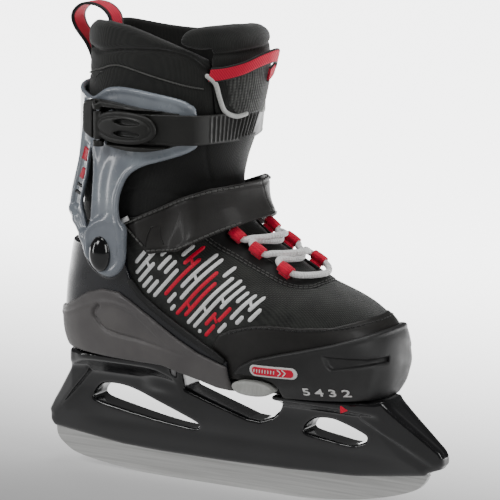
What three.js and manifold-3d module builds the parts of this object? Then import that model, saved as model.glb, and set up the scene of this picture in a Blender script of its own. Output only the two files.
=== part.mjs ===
// Child's size-adjustable ice skate, right foot. Millimetres: +X to the toe, +Y to the inner side, +Z up.
// The origin is on the flat of the blade's running edge.
import * as THREE from "three";
import { LoftGeometry } from "three/addons/geometries/LoftGeometry.js";
import { mergeVertices } from "three/addons/utils/BufferGeometryUtils.js";
import Module from "manifold-3d";

const wasm = await Module();
wasm.setup();

// ---------------------------------------------------------------- driving sizes
const LENGTH_SCALE = 1; // whole skate along X
const WIDTH_SCALE = 1; // boot across Y
const HEIGHT_SCALE = 1; // whole skate along Z
const FIT_GAP = 0.35; // between neighbouring pieces that don't slide
const SLIDE_GAP = 0.4; // between pieces that slide on each other
const RUNNING_GAP = 0.08; // round pin in its bore

const BLADE_THICKNESS = 3.5;
const BLADE_EMBED = 7; // depth of blade inside the holder
const BLADE_TANG_RISE = 4;
const BLADE_TANG_LENGTH = 22;
const BLADE_SLOT_GAP = 0.25;

const HOLDER_WEB_HALF = 9.5;
const HEEL_PAD_HALF = 27;
const TOE_PAD_HALF = 29;
const NOSE_HALF = 13;

const SHELL_WALL = 4.2;
const SHELL_FLOOR = 3.5;
const TONGUE_PLATE_HALF = 29;
const TOE_TRAVEL = 25.4; // four lengths, 8.47 apart
const BOOT_WALL = 4;
const COLLAR_WALL = 8;
const GUSSET_WALL = 5;
const FOOTBED_THICKNESS = 3.5;

const BOLT_R = 3;
const BOLT_HOLE_GAP = 0.3;
const BOLT_HEAD_R = 6;
const BOLT_HEAD_H = 1.6;
const NUT_R = 5.6;
const NUT_H = 4;
const WASHER_H = 1;

const PIVOT_R = 4;
const PIVOT_BOSS_R = 15;
const PIVOT_BOSS_Y = 43;
const LOBE_GAP = 0.6;
const LOBE_WALL = 3.8;
const LOBE_R = 16.5;
const CUFF_WALL = 3;
const CUFF_STAND_OFF_LOW = 6;
const CUFF_STAND_OFF_HIGH = 2.6;

const BUCKLE_BASE_T = 1.5;
const LADDER_T = 2.2;
const LEVER_T = 3.4;
const STACK_GAP = 0.3;
const LADDER_HALF = 10.5; // half width of the ladder strap
const LADDER_BITE = 2.6; // how far the closed strap presses into the tongue
const BUCKLE_PIN_R = 1.3;

const LACE_R = 2.2;
const LACE_LOOP_LENGTH = 7;
const STRAP_T = 2.2;
const STRAP_STAND_OFF = 1;
const STRAP_STAND_OFF_FRONT = 14.2;
const WEBBING_T = 1.5;

const BUTTON_HALF_LENGTH = 14;
const BUTTON_HALF_HEIGHT = 4.2;
const BUTTON_THICKNESS = 6;
const BUTTON_STEM_R = 2.4;
const SPRING_WIRE_R = 0.5;
const SPRING_COILS = 3;

// Stations along, across and up the skate follow the three overall scales.
const X = (v) => v * LENGTH_SCALE;
const Y = (v) => v * WIDTH_SCALE;
const Z = (v) => v * HEIGHT_SCALE;
const xz = (points) => points.map(([x, z]) => [X(x), Z(z)]);
const xy = (points) => points.map(([x, y]) => [X(x), Y(y)]);

const HEEL_SOLE = Z(80);
const TOE_SOLE = Z(70);
const PLATE_BOTTOM = TOE_SOLE + SHELL_FLOOR + SLIDE_GAP;
const PLATE_TOP = PLATE_BOTTOM + 3;
const HEEL_FLOOR = HEEL_SOLE + SHELL_FLOOR;
const PIVOT = [X(-74), Z(149)];
const HEEL_BOLT_X = X(-83);
const TOE_BOLT_X = X(68);

// ---------------------------------------------------------------- foot form
// Level sections of the boot: height, heel, toe, width factor, heel roundness, toe roundness.
const SECTIONS = [
  [66, -106, 95, 0.64, 2.6, 3.0],
  [72, -113, 100, 0.76, 2.6, 3.0],
  [80, -119, 104, 0.87, 2.6, 3.0],
  [90, -122.5, 105.5, 0.94, 2.6, 2.9],
  [104, -123, 104, 1.0, 2.6, 2.8],
  [113, -122.3, 101, 1.01, 2.6, 2.6],
  [120, -121.5, 94.5, 1.01, 2.6, 2.4],
  [127, -120.3, 83, 1.02, 2.6, 2.2],
  [136, -118.5, 63, 1.03, 2.5, 1.8],
  [143, -116.8, 52, 1.04, 2.5, 1.6],
  [150, -115, 41, 1.05, 2.5, 1.45],
  [164, -111.5, 18, 1.06, 2.5, 1.35],
  [178, -108.5, 3, 1.06, 2.5, 1.45],
  [192, -106, -3, 1.07, 2.5, 1.7],
  [206, -104.5, -2, 1.07, 2.5, 1.9],
  [222, -104, 4, 1.06, 2.5, 1.9],
  [242, -104, 10.5, 1.06, 2.5, 1.9],
  [262, -104, 14.5, 1.06, 2.5, 1.9],
  [280, -103.5, 13.5, 1.05, 2.5, 1.9],
  [294, -102, 8, 1.03, 2.5, 1.9],
];
// Half width along the boot, and how far the toe turns to the inner side.
const WIDTHS = [
  [-130, 34, 0],
  [-90, 36, 0],
  [-74, 37.2, 0],
  [-50, 38, 0],
  [-20, 39, 0],
  [14, 42, 0],
  [45, 44, 0],
  [75, 42.5, 2],
  [115, 37, 7],
];
// The sliding toe's cavity runs parallel behind its widest station.
const WIDEST_STATIONS = [18, 26, 34, 42, 50];
const RING_POINTS = 28;
const LEVELS = SECTIONS.map((row) => row[0] * HEIGHT_SCALE);

// Smooth curve through a table's rows: value of column c at v.
function along(table, v, c) {
  const last = table.length - 1;
  if (v <= table[0][0]) return table[0][c];
  if (v >= table[last][0]) return table[last][c];
  const i = table.findIndex((row) => row[0] > v) - 1;
  const slope = (k) => {
    const a = Math.max(0, k - 1);
    const b = Math.min(last, k + 1);
    return (table[b][c] - table[a][c]) / (table[b][0] - table[a][0]);
  };
  const h = table[i + 1][0] - table[i][0];
  const t = (v - table[i][0]) / h;
  const t2 = t * t;
  const t3 = t2 * t;
  return (
    (2 * t3 - 3 * t2 + 1) * table[i][c] +
    (t3 - 2 * t2 + t) * h * slope(i) +
    (3 * t2 - 2 * t3) * table[i + 1][c] +
    (t3 - t2) * h * slope(i + 1)
  );
}
const powSigned = (v, p) => Math.sign(v) * Math.pow(Math.abs(v), p);
const clamp01 = (v) => Math.min(1, Math.max(0, v));

// One level section of the foot form, grown outwards by grow (a number, or a function of x and z).
function ring(z, grow, parallel) {
  const h = z / HEIGHT_SCALE;
  const heel = X(along(SECTIONS, h, 1));
  const toe = X(along(SECTIONS, h, 2));
  const factor = along(SECTIONS, h, 3);
  const middle = (heel + toe) / 2;
  const half = (toe - heel) / 2;
  const across = (x) => Y(along(WIDTHS, x / LENGTH_SCALE, 1)) * factor;
  const turn = (x) => Y(along(WIDTHS, x / LENGTH_SCALE, 2));
  const sideAt = (x, n) => across(x) * Math.pow(1 - Math.pow(clamp01((x - middle) / half), n), 1 / n);
  const points = [];
  for (let i = 0; i < RING_POINTS; i++) {
    const a = (2 * Math.PI * (i + 0.5)) / RING_POINTS;
    const n = along(SECTIONS, h, Math.cos(a) < 0 ? 4 : 5);
    const ex = powSigned(Math.cos(a), 2 / n);
    const ey = powSigned(Math.sin(a), 2 / n);
    const x0 = middle + half * ex;
    const g = typeof grow === "function" ? grow(x0, z) : grow;
    const x = middle + (half + g) * ex;
    let y = turn(x0) + (across(x0) + g) * ey;
    if (parallel && x0 < X(WIDEST_STATIONS[4])) {
      const nFront = along(SECTIONS, h, 5);
      y = Math.sign(y) * (Math.max(...WIDEST_STATIONS.map((v) => sideAt(X(v), nFront))) + g + 0.3);
    }
    points.push(new THREE.Vector3(x, y, z));
  }
  return points;
}
// Between two levels the surface is straight, so that forms grown by different amounts never cross.
function section(z, grow, parallel) {
  const last = LEVELS.length - 1;
  const above = LEVELS.findIndex((level) => level > z);
  const i = above < 0 ? last - 1 : Math.max(0, above - 1);
  const t = clamp01((z - LEVELS[i]) / (LEVELS[i + 1] - LEVELS[i]));
  const a = ring(LEVELS[i], grow, parallel);
  const b = ring(LEVELS[i + 1], grow, parallel);
  return a.map((p, k) => p.lerp(b[k], t).setZ(z));
}

// Half width of the grown form at a station, on the straight part of the side.
function sideY(x, z, grow) {
  const h = z / HEIGHT_SCALE;
  const heel = X(along(SECTIONS, h, 1));
  const toe = X(along(SECTIONS, h, 2));
  const u = Math.min(1, Math.abs((x - (heel + toe) / 2) / ((toe - heel) / 2)));
  const n = along(SECTIONS, h, x < (heel + toe) / 2 ? 4 : 5);
  const w = Y(along(WIDTHS, x / LENGTH_SCALE, 1)) * along(SECTIONS, h, 3);
  return (w + grow) * Math.pow(1 - Math.pow(u, n), 1 / n);
}

// Station of the form's front surface at a given distance from the middle.
function frontX(y, z, grow) {
  const h = z / HEIGHT_SCALE;
  const heel = X(along(SECTIONS, h, 1));
  const toe = X(along(SECTIONS, h, 2));
  const n = along(SECTIONS, h, 5);
  let x = toe;
  for (let i = 0; i < 8; i++) {
    const w = Y(along(WIDTHS, x / LENGTH_SCALE, 1)) * along(SECTIONS, h, 3);
    const v = Math.min(0.98, Math.abs(y) / (w + grow));
    x = (heel + toe) / 2 + ((toe - heel) / 2 + grow) * Math.pow(1 - Math.pow(v, n), 1 / n);
  }
  return x;
}

// ---------------------------------------------------------------- solids
function solid(geometry) {
  const g = new THREE.BufferGeometry();
  const source = geometry.index ? geometry.toNonIndexed() : geometry;
  g.setAttribute("position", source.getAttribute("position"));
  const merged = mergeVertices(g, 1e-4);
  return new wasm.Manifold(
    new wasm.Mesh({
      numProp: 3,
      vertProperties: merged.attributes.position.array,
      triVerts: new Uint32Array(merged.index.array),
    }),
  );
}
function form(grow, z0, z1, parallel = false) {
  const heights = [z0, ...LEVELS.filter((z) => z > z0 + 0.5 && z < z1 - 0.5), z1];
  const rings = heights.map((z) => section(z, grow, parallel));
  return solid(new LoftGeometry(rings, { capStart: true, capEnd: true }));
}
function skin(outer, inner, z0, z1) {
  return form(outer, z0, z1).subtract(form(inner, z0 - 2, z1 + 2));
}
function outline(points, smooth) {
  const v = points.map(([a, b]) => new THREE.Vector2(a, b));
  if (!smooth) return new THREE.Shape(v);
  const curve = new THREE.CatmullRomCurve3(
    points.map(([a, b]) => new THREE.Vector3(a, b, 0)),
    true,
    "centripetal",
  );
  return new THREE.Shape(curve.getPoints(smooth).slice(0, -1).map((p) => new THREE.Vector2(p.x, p.y)));
}
function prism(shape, depth) {
  return new THREE.ExtrudeGeometry(shape, { depth, bevelEnabled: false, curveSegments: 16 });
}
const basis = (x, y, z) =>
  new THREE.Matrix4().makeBasis(new THREE.Vector3(...x), new THREE.Vector3(...y), new THREE.Vector3(...z));
// A side-view outline made solid from y0 to y1.
function sideSlab(points, y0, y1, smooth = 0) {
  const g = prism(outline(points, smooth), y1 - y0);
  g.applyMatrix4(basis([1, 0, 0], [0, 0, 1], [0, -1, 0]));
  g.translate(0, y1, 0);
  return solid(g);
}
// A plan outline made solid from z0 to z1.
function planSlab(points, z0, z1, smooth = 0) {
  const g = prism(outline(points, smooth), z1 - z0);
  g.translate(0, 0, z0);
  return solid(g);
}
// A front-view outline made solid from x0 to x1.
function frontSlab(points, x0, x1, smooth = 0) {
  const g = prism(outline(points, smooth), x1 - x0);
  g.applyMatrix4(basis([0, 1, 0], [0, 0, 1], [1, 0, 0]));
  g.translate(x0, 0, 0);
  return solid(g);
}
function box(x0, x1, y0, y1, z0, z1) {
  const g = new THREE.BoxGeometry(x1 - x0, y1 - y0, z1 - z0);
  g.translate((x0 + x1) / 2, (y0 + y1) / 2, (z0 + z1) / 2);
  return solid(g);
}
function rod(r, from, to, sides = 32) {
  const a = new THREE.Vector3(...from);
  const b = new THREE.Vector3(...to);
  const g = new THREE.CylinderGeometry(r, r, a.distanceTo(b), sides);
  g.applyQuaternion(
    new THREE.Quaternion().setFromUnitVectors(new THREE.Vector3(0, 1, 0), b.clone().sub(a).normalize()),
  );
  g.translate((a.x + b.x) / 2, (a.y + b.y) / 2, (a.z + b.z) / 2);
  return solid(g);
}
// A round bore is made a little larger so that its flats clear the pin all round.
const bore = (r, gap, from, to, sides = 32) => rod((r + gap) / Math.cos(Math.PI / sides), from, to, sides);
function hexagon(r, x, y, z0, z1) {
  return rod(r, [x, y, z0], [x, y, z1], 6);
}
// A flat band of even thickness along a path of two-part points.
function bandOutline(path, thickness, steps) {
  const curve = new THREE.CatmullRomCurve3(
    path.map(([a, b]) => new THREE.Vector3(a, b, 0)),
    false,
    "centripetal",
  );
  const left = [];
  const right = [];
  for (let i = 0; i <= steps; i++) {
    const p = curve.getPoint(i / steps);
    const t = curve.getTangent(i / steps);
    left.push([p.x - (t.y * thickness) / 2, p.y + (t.x * thickness) / 2]);
    right.push([p.x + (t.y * thickness) / 2, p.y - (t.x * thickness) / 2]);
  }
  return left.concat(right.reverse());
}

// ---------------------------------------------------------------- materials
const paint = (color, roughness, metalness = 0) =>
  new THREE.MeshStandardMaterial({ color, roughness, metalness });
const brushedSteel = paint(0xc9c9c7, 0.35, 1);
const glossBlack = paint(0x111113, 0.18);
const shellGrey = paint(0x3b3a39, 0.5);
const satinBlack = paint(0x1d1d1f, 0.4);
const cuffGrey = paint(0x6f757b, 0.35);
const capBlack = paint(0x0c0d0f, 0.08);
const buckleBlack = paint(0x262624, 0.45);
const meshFabric = paint(0x141414, 0.95);
const knitFabric = paint(0x1f201e, 0.95);
const leatherette = paint(0x2a2927, 0.7);
const redWebbing = paint(0xd01530, 0.8);
const whiteCord = paint(0xeceae6, 0.85);
const zincSteel = paint(0xa8abb0, 0.3, 1);
const foam = paint(0x4a4a48, 0.9);
const buttonGrey = paint(0x9b9ea2, 0.5);
const badgeRed = paint(0xc9182b, 0.4);

const skate = new THREE.Group();
skate.name = "ice_skate";
const groups = {};
for (const name of ["frame", "toe", "button", "cuff", "lever", "strap"]) {
  groups[name] = new THREE.Group();
  skate.add(groups[name]);
}
function piece(group, name, manifold, material) {
  const m = manifold.getMesh();
  const g = new THREE.BufferGeometry();
  g.setAttribute("position", new THREE.BufferAttribute(new Float32Array(m.vertProperties), 3));
  g.setIndex(new THREE.BufferAttribute(new Uint32Array(m.triVerts), 1));
  const flat = g.toNonIndexed();
  flat.computeVertexNormals();
  const mesh = new THREE.Mesh(flat, material);
  mesh.name = name;
  groups[group].add(mesh);
}

// ---------------------------------------------------------------- blade and holder
const BLADE_BOTTOM = [
  [-139.5, 23], [-138.5, 17], [-134, 12], [-122, 6], [-92, 1.6], [-58, 0], [34, 0],
  [58, 1.4], [81, 4], [98, 7.5], [112, 11.5], [123, 16], [128.5, 21], [131, 25.5],
];
const HOLDER_BOTTOM = [
  [130, 26], [104, 22], [81, 19], [54, 18], [34, 17], [-11, 16], [-58, 16], [-87, 17], [-139, 23],
];
const BLADE_TANGS = [-112, -52, 0, 70];
function bladeOutline(grow) {
  const top = HOLDER_BOTTOM.map(([x, z]) => [x * (1 - 0.012), z + BLADE_EMBED]);
  const end = top.length - 1;
  const rise = [[top[0][0] + grow, top[0][1]], ...top.slice(1, end), [top[end][0] - grow, top[end][1]]];
  return xz(BLADE_BOTTOM).concat(rise.map(([x, z]) => [X(x), Z(z) + grow]));
}
function bladeSolid(grow) {
  const half = BLADE_THICKNESS / 2 + grow;
  let body = sideSlab(bladeOutline(grow), -half, half);
  for (const x of BLADE_TANGS) {
    const z = Z(along(HOLDER_BOTTOM.slice().reverse(), x, 1)) + BLADE_EMBED;
    const l = BLADE_TANG_LENGTH / 2 + grow;
    body = body.add(box(X(x) - l, X(x) + l, -half, half, z - 2, z + BLADE_TANG_RISE + grow));
  }
  return body;
}
const WEB = [
  [-139, 23], [-142, 27], [-142, 34], [-137, 42], [-118, 68], [-117, 79.5], [-36, 79.5], [-39, 70],
  [-37, 61], [8, 47.5], [17, 47], [26, 50.5], [36, 60], [38, 69.5], [104, 69.5], [139, 42.5],
  [142, 38.5], [142, 34], [140, 31], [132, 28],
];
const REAR_WINDOW = [
  [-106, 48], [-103, 53], [-96, 57], [-79, 56.5], [-56, 49], [-34, 41], [-29, 38], [-31, 35.5],
  [-45, 36], [-62, 38], [-84, 41.5], [-102, 45],
];
const FRONT_WINDOW = [
  [48, 45], [50, 49], [57, 53.5], [68, 54.5], [78, 52], [89, 48], [92, 45.5], [89, 42], [80, 39.5],
  [66, 41], [52, 43],
];
const WEB_PLAN = [
  [-143, -5], [-128, -8], [-100, -9.5], [100, -9.5], [125, -7], [143, -4],
  [143, 4], [125, 7], [100, 9.5], [-100, 9.5], [-128, 8], [-143, 5],
];
function holderSolid() {
  const h = HOLDER_WEB_HALF;
  const lower = WEB.concat(HOLDER_BOTTOM.map(([x, z]) => [x, z])).filter((p, i, all) => {
    const q = all[(i + 1) % all.length];
    return Math.hypot(p[0] - q[0], p[1] - q[1]) > 0.5;
  });
  const taper = [
    [-h, 90], [-h, 50], [-h * 0.86, 36], [-5, 22], [-4, 10], [4, 10], [5, 22], [h * 0.86, 36], [h, 50], [h, 90],
  ].map(([y, z]) => [y, Z(z)]);
  let body = sideSlab(xz(lower), -h - 1, h + 1)
    .intersect(frontSlab(taper, X(-150), X(150)))
    .intersect(planSlab(WEB_PLAN.map(([x, y]) => [X(x), (y * h) / 9.5]), 0, Z(100)));
  const heelPlan = xy([
    [-118, -15], [-110, -23], [-96, -27], [-50, -27], [-38, -22], [-34, -12],
    [-34, 12], [-38, 22], [-50, 27], [-96, 27], [-110, 23], [-118, 15],
  ].map(([x, y]) => [x, (y * HEEL_PAD_HALF) / 27]));
  const heelFront = [
    [-HEEL_PAD_HALF, 79.5], [-HEEL_PAD_HALF, 76.5], [-20, 71], [-11, 64], [-7, 58],
    [7, 58], [11, 64], [20, 71], [HEEL_PAD_HALF, 76.5], [HEEL_PAD_HALF, 79.5],
  ].map(([y, z]) => [Y(y), Z(z)]);
  body = body.add(frontSlab(heelFront, X(-118), X(-34)).intersect(planSlab(heelPlan, Z(50), Z(90))));
  const toePlan = xy([
    [36, -24], [42, -29], [60, -27], [84, -20], [104, -12.5],
    [104, 12.5], [84, 20], [60, 27], [42, 29], [36, 24],
  ].map(([x, y]) => [x, (y * TOE_PAD_HALF) / 29]));
  const toeFront = [
    [-TOE_PAD_HALF, 69.5], [-TOE_PAD_HALF, 67], [-20, 64], [-11, 59.5], [-7, 55],
    [7, 55], [11, 59.5], [20, 64], [TOE_PAD_HALF, 67], [TOE_PAD_HALF, 69.5],
  ].map(([y, z]) => [Y(y), Z(z)]);
  body = body.add(frontSlab(toeFront, X(36), X(104)).intersect(planSlab(toePlan, Z(50), Z(90))));
  const nose = xz([[92, 69.5], [104, 69.5], [140, 41.5], [142, 38], [142, 34.5], [136, 33], [92, 58]]);
  const nosePlan = xy([
    [92, -NOSE_HALF], [104, -NOSE_HALF], [142, -4.5], [142, 4.5], [104, NOSE_HALF], [92, NOSE_HALF],
  ]);
  body = body.add(sideSlab(nose, -20, 20).intersect(planSlab(nosePlan, 0, Z(90))));
  const tail = xz([[-104, 79.5], [-117, 79.5], [-118, 68], [-137, 42], [-142, 34], [-138, 31], [-104, 66]]);
  const tailPlan = xy([[-104, -18], [-118, -15], [-142, -5], [-142, 5], [-118, 15], [-104, 18]]);
  body = body.add(sideSlab(tail, -20, 20).intersect(planSlab(tailPlan, 0, Z(90))));
  for (const w of [REAR_WINDOW, FRONT_WINDOW]) body = body.subtract(sideSlab(xz(w), -40, 40, 36));
  body = body.subtract(bladeSolid(BLADE_SLOT_GAP));
  for (const [x, z] of [[HEEL_BOLT_X, HEEL_NUT_Z], [TOE_BOLT_X, TOE_NUT_Z]]) {
    body = body.subtract(bore(BOLT_R, BOLT_HOLE_GAP, [x, 0, z - 12], [x, 0, Z(95)]));
    body = body.subtract(rod(NUT_R + FIT_GAP + 0.8, [x, 0, z - 12], [x, 0, z + NUT_H + WASHER_H + 0.6]));
  }
  return body;
}
const HEEL_NUT_Z = Z(59);
const TOE_NUT_Z = Z(56.5);
piece("frame", "runner_blade", bladeSolid(0), brushedSteel);
piece("frame", "blade_holder", holderSolid(), glossBlack);

// A sunk flat-headed bolt with its washer and nut, one pair at the heel and one at the toe.
function boltSet(end, x, headTop, nutZ) {
  const headZ = headTop - BOLT_HEAD_H;
  const washerZ = nutZ + NUT_H + 0.2;
  const shank = rod(BOLT_R, [x, 0, nutZ - 1], [x, 0, headZ + 0.5]);
  const head = rod(BOLT_HEAD_R, [x, 0, headZ], [x, 0, headTop]);
  const drive = rod(2.2, [x, 0, headTop - 1], [x, 0, headTop + 1], 6);
  piece("frame", end + "_bolt", shank.add(head).subtract(drive), zincSteel);
  const hole = (z0, z1) => bore(BOLT_R, 0.15, [x, 0, z0], [x, 0, z1]);
  const ringR = NUT_R + 0.6;
  piece("frame", end + "_bolt_washer",
    rod(ringR, [x, 0, washerZ], [x, 0, washerZ + WASHER_H]).subtract(hole(washerZ - 1, washerZ + 2)), zincSteel);
  piece("frame", end + "_bolt_nut",
    hexagon(NUT_R, x, 0, nutZ, nutZ + NUT_H).subtract(hole(nutZ - 1, nutZ + NUT_H + 1)), zincSteel);
}
boltSet("heel", HEEL_BOLT_X, HEEL_FLOOR - 0.2, HEEL_NUT_Z);
boltSet("toe", TOE_BOLT_X, PLATE_TOP - 0.2, TOE_NUT_Z);
function boltClearance(x, headTop) {
  return bore(BOLT_R, BOLT_HOLE_GAP, [x, 0, Z(50)], [x, 0, headTop + 1]).add(
    rod(BOLT_HEAD_R + FIT_GAP, [x, 0, headTop - BOLT_HEAD_H - 0.3], [x, 0, headTop + 3]),
  );
}

// ---------------------------------------------------------------- rear shell
const BUTTON_AT = [X(31), Z(76)];
const TOE_SHELL_REAR = 14;
const FLOOR_LINE = [[-140, HEEL_FLOOR], [X(-34), HEEL_FLOOR], [X(0), PLATE_TOP], [X(140), PLATE_TOP]];
function aboveFloor(lift, x1, top) {
  const line = FLOOR_LINE.map(([x, z]) => [x, z + lift]);
  line[0][0] = X(-140);
  line[3][0] = x1;
  return sideSlab(line.concat([[x1, top], [X(-140), top]]), -80, 80);
}
function earSolid(side, r, y0, y1) {
  return rod(r, [PIVOT[0], side * y0, PIVOT[1]], [PIVOT[0], side * y1, PIVOT[1]], 32);
}
function rearShellSolid() {
  const rear = TOE_SHELL_REAR - 0.8;
  const region = [
    [-135, 80], [-34, 80], [-28, 76.5], [2, 69.8], [rear, 69.8], [rear, 90], [-7, 100.5], [-32, 114],
    [-46, 122.5], [-56, 131], [-60, 142], [-66, 150], [-92, 152], [-135, 150],
  ];
  const wing = [
    [-135, 80], [-34, 80], [-28, 76.5], [2, 69.8], [rear, 69.8], [rear, 87], [-8, 93.5], [-23, 101],
    [-40, 111], [-57, 120], [-66, 124.5], [-79, 125], [-93, 121], [-104, 115], [-118, 108], [-135, 104],
  ];
  let body = form(SHELL_WALL - 1, Z(66), Z(160)).intersect(sideSlab(xz(region), -80, 80));
  body = body.add(form(SHELL_WALL + 0.4, Z(66), Z(128)).intersect(sideSlab(xz(wing), -80, 80)));
  for (const side of [-1, 1]) body = body.add(earSolid(side, PIVOT_BOSS_R, Y(30), Y(PIVOT_BOSS_Y)));
  body = body.subtract(form(FIT_GAP, Z(66), Z(175)).intersect(aboveFloor(0, X(140), Z(180))));
  const plate = xy([
    [0, -TONGUE_PLATE_HALF], [52, -TONGUE_PLATE_HALF], [84, -20], [84, 20],
    [52, TONGUE_PLATE_HALF], [0, TONGUE_PLATE_HALF],
  ]);
  body = body.add(planSlab(plate, PLATE_BOTTOM, PLATE_TOP));
  const seat = box(BUTTON_AT[0] - 11, BUTTON_AT[0] + 11, Y(-33), Y(-26), TOE_SOLE + 0.4, BUTTON_AT[1] + 4.8);
  body = body.add(seat);
  body = body.subtract(
    bore(BUTTON_STEM_R, 0.2, [BUTTON_AT[0], Y(-45), BUTTON_AT[1]], [BUTTON_AT[0], Y(-20), BUTTON_AT[1]]),
  );
  body = body.subtract(boltClearance(HEEL_BOLT_X, HEEL_FLOOR - 0.2));
  body = body.subtract(boltClearance(TOE_BOLT_X, PLATE_TOP - 0.2));
  for (const side of [-1, 1]) {
    body = body.subtract(
      bore(PIVOT_R, RUNNING_GAP, [PIVOT[0], side * Y(25), PIVOT[1]], [PIVOT[0], side * Y(60), PIVOT[1]]),
    );
  }
  return body;
}
piece("frame", "rear_shell", rearShellSolid(), shellGrey);

// ---------------------------------------------------------------- buckle layers, counted out from the boot
const BUCKLE_Z = Z(229.5);
const cuffFace = CUFF_STAND_OFF_HIGH + CUFF_WALL;
const baseIn = cuffFace + STACK_GAP;
const baseOut = baseIn + BUCKLE_BASE_T;
const ladderIn = baseOut + STACK_GAP;
const ladderOut = ladderIn + LADDER_T;
const leverIn = ladderOut + STACK_GAP;
const leverOut = leverIn + LEVER_T;
// The ladder strap leaves the buckle and closes in on the tongue at the front.
function ladderGrow(base) {
  return (x) => {
    const t = clamp01((x - X(-11)) / X(15));
    return base - (ladderIn + LADDER_BITE) * t * t * (3 - 2 * t);
  };
}
// The closed ladder strap presses a groove into the tongue.
function ladderGroove() {
  const gap = LADDER_HALF + 1.5;
  return form(80, BUCKLE_Z - gap, BUCKLE_Z + gap)
    .subtract(form(ladderGrow(ladderIn - STACK_GAP), BUCKLE_Z - gap - 1, BUCKLE_Z + gap + 1));
}

// ---------------------------------------------------------------- soft boot on the foot
const ANKLE_LINE = [[-140, 158], [60, 194]]; // top of the foot part, rising to the front
const GUSSET_REAR = 58;
const GUSSET_FRONT = 72;
const ankleZ = (x) => Z(158 + ((x + 140) * 36) / 200);
function belowAnkle(gap, x1) {
  return sideSlab([
    [X(-140), Z(60)], [X(x1), Z(60)], [X(x1), ankleZ(x1) - gap], [X(-140), ankleZ(-140) - gap],
  ], -80, 80);
}
const CREST = [[64, 136], [41, 150], [18, 164], [3, 178], [-3, 192]];
function throatCut(half, deep) {
  const back = CREST.map(([x, z]) => [x - deep, z - deep * 0.55]).reverse();
  const front = CREST.map(([x, z]) => [x + 12, z + 14]);
  return sideSlab(xz(front.slice(0).concat(back)), -Y(half), Y(half));
}
function buttonPocket() {
  return box(X(TOE_SHELL_REAR) - 1, X(49), Y(-70), Y(-25.5), Z(60), BUTTON_AT[1] + 5.2);
}
function upperSolid() {
  const outer = form(0, Z(68), Z(196)).intersect(aboveFloor(FIT_GAP, X(GUSSET_REAR), Z(200)));
  const inner = form(-BOOT_WALL, Z(68), Z(200)).intersect(aboveFloor(FIT_GAP + 2.5, X(GUSSET_REAR) + 5, Z(205)));
  return outer
    .intersect(belowAnkle(FIT_GAP, GUSSET_REAR - 0.3))
    .subtract(inner)
    .subtract(throatCut(15, 16))
    .subtract(buttonPocket());
}
piece("frame", "boot_upper", upperSolid(), meshFabric);

function toeRing(x0, x1) {
  const outer = form(0, Z(68), Z(140)).intersect(box(x0, x1, -80, 80, PLATE_TOP + SLIDE_GAP, Z(150)));
  const hollow = form(-BOOT_WALL, Z(68), Z(142))
    .intersect(box(x0 - 5, X(140), -80, 80, PLATE_TOP + SLIDE_GAP + 2.5, Z(150)));
  return outer.subtract(hollow);
}
piece("frame", "toe_stretch_gusset", toeRing(X(GUSSET_REAR), X(GUSSET_FRONT - 0.3)), knitFabric);
piece("toe", "toe_box", toeRing(X(GUSSET_FRONT), X(140)), meshFabric);

function tongueSkin(outer, inner, z0, z1) {
  return skin(outer, inner, z0, z1);
}
function lowerTongueSolid() {
  const over = CREST.map(([x, z]) => [x + 14, z + 8]);
  const under = CREST.map(([x, z]) => [x - 22, z - 12]).reverse();
  return tongueSkin(-BOOT_WALL - FIT_GAP, -BOOT_WALL - FIT_GAP - GUSSET_WALL, Z(100), Z(196))
    .intersect(sideSlab(xz(over.concat(under)), -Y(22), Y(22)))
    .intersect(belowAnkle(FIT_GAP, GUSSET_REAR - 4));
}
piece("frame", "tongue_lower", lowerTongueSolid(), knitFabric);

function footbedSolid() {
  const lift = FIT_GAP + 2.5 + FIT_GAP;
  const slab = aboveFloor(lift, X(94), Z(120)).subtract(aboveFloor(lift + FOOTBED_THICKNESS, X(95), Z(125)));
  const inside = form(-BOOT_WALL - 1.2, Z(72), Z(130));
  return slab.intersect(inside).intersect(box(X(-140), X(94), -80, 80, Z(60), Z(120))).subtract(buttonPocket());
}
piece("frame", "footbed", footbedSolid(), foam);

const SHAFT_BASE = 222;
function ankleGussetSolid() {
  const ringBody = skin(0, -GUSSET_WALL, Z(150), Z(SHAFT_BASE) - FIT_GAP);
  return ringBody.subtract(belowAnkle(-FIT_GAP, 80)).subtract(ladderGroove());
}
piece("frame", "ankle_gusset", ankleGussetSolid(), knitFabric);

// ---------------------------------------------------------------- toe shell and size button
const TOE_SHELL_TOP = [
  [TOE_SHELL_REAR, 80], [17, 83], [23, 89], [33, 94.5], [53, 100], [82, 107], [104, 114], [125, 121],
];
function toeShellSolid() {
  const rear = X(TOE_SHELL_REAR);
  const region = xz(TOE_SHELL_TOP).concat([[X(125), TOE_SOLE], [rear, TOE_SOLE]]);
  let body = form(SHELL_WALL, Z(66), Z(128)).intersect(sideSlab(region, -80, 80));
  body = body.subtract(form(SLIDE_GAP, Z(66), Z(130), true)
    .intersect(box(X(-140), X(140), -80, 80, TOE_SOLE + SHELL_FLOOR, Z(140))));
  const slotR = BOLT_R + 0.6;
  const slotRear = TOE_BOLT_X - TOE_TRAVEL;
  body = body.subtract(box(slotRear, TOE_BOLT_X, -slotR, slotR, Z(60), TOE_SOLE + SHELL_FLOOR + 1));
  for (const x of [slotRear, TOE_BOLT_X]) {
    body = body.subtract(rod(slotR, [x, 0, Z(60)], [x, 0, TOE_SOLE + SHELL_FLOOR + 1]));
  }
  const notch = box(rear - 5, BUTTON_AT[0] + BUTTON_HALF_LENGTH + 2.5, Y(-70), Y(-25.3), Z(60), BUTTON_AT[1] + 5.6);
  return body.subtract(notch);
}
piece("toe", "toe_shell", toeShellSolid(), satinBlack);

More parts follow.
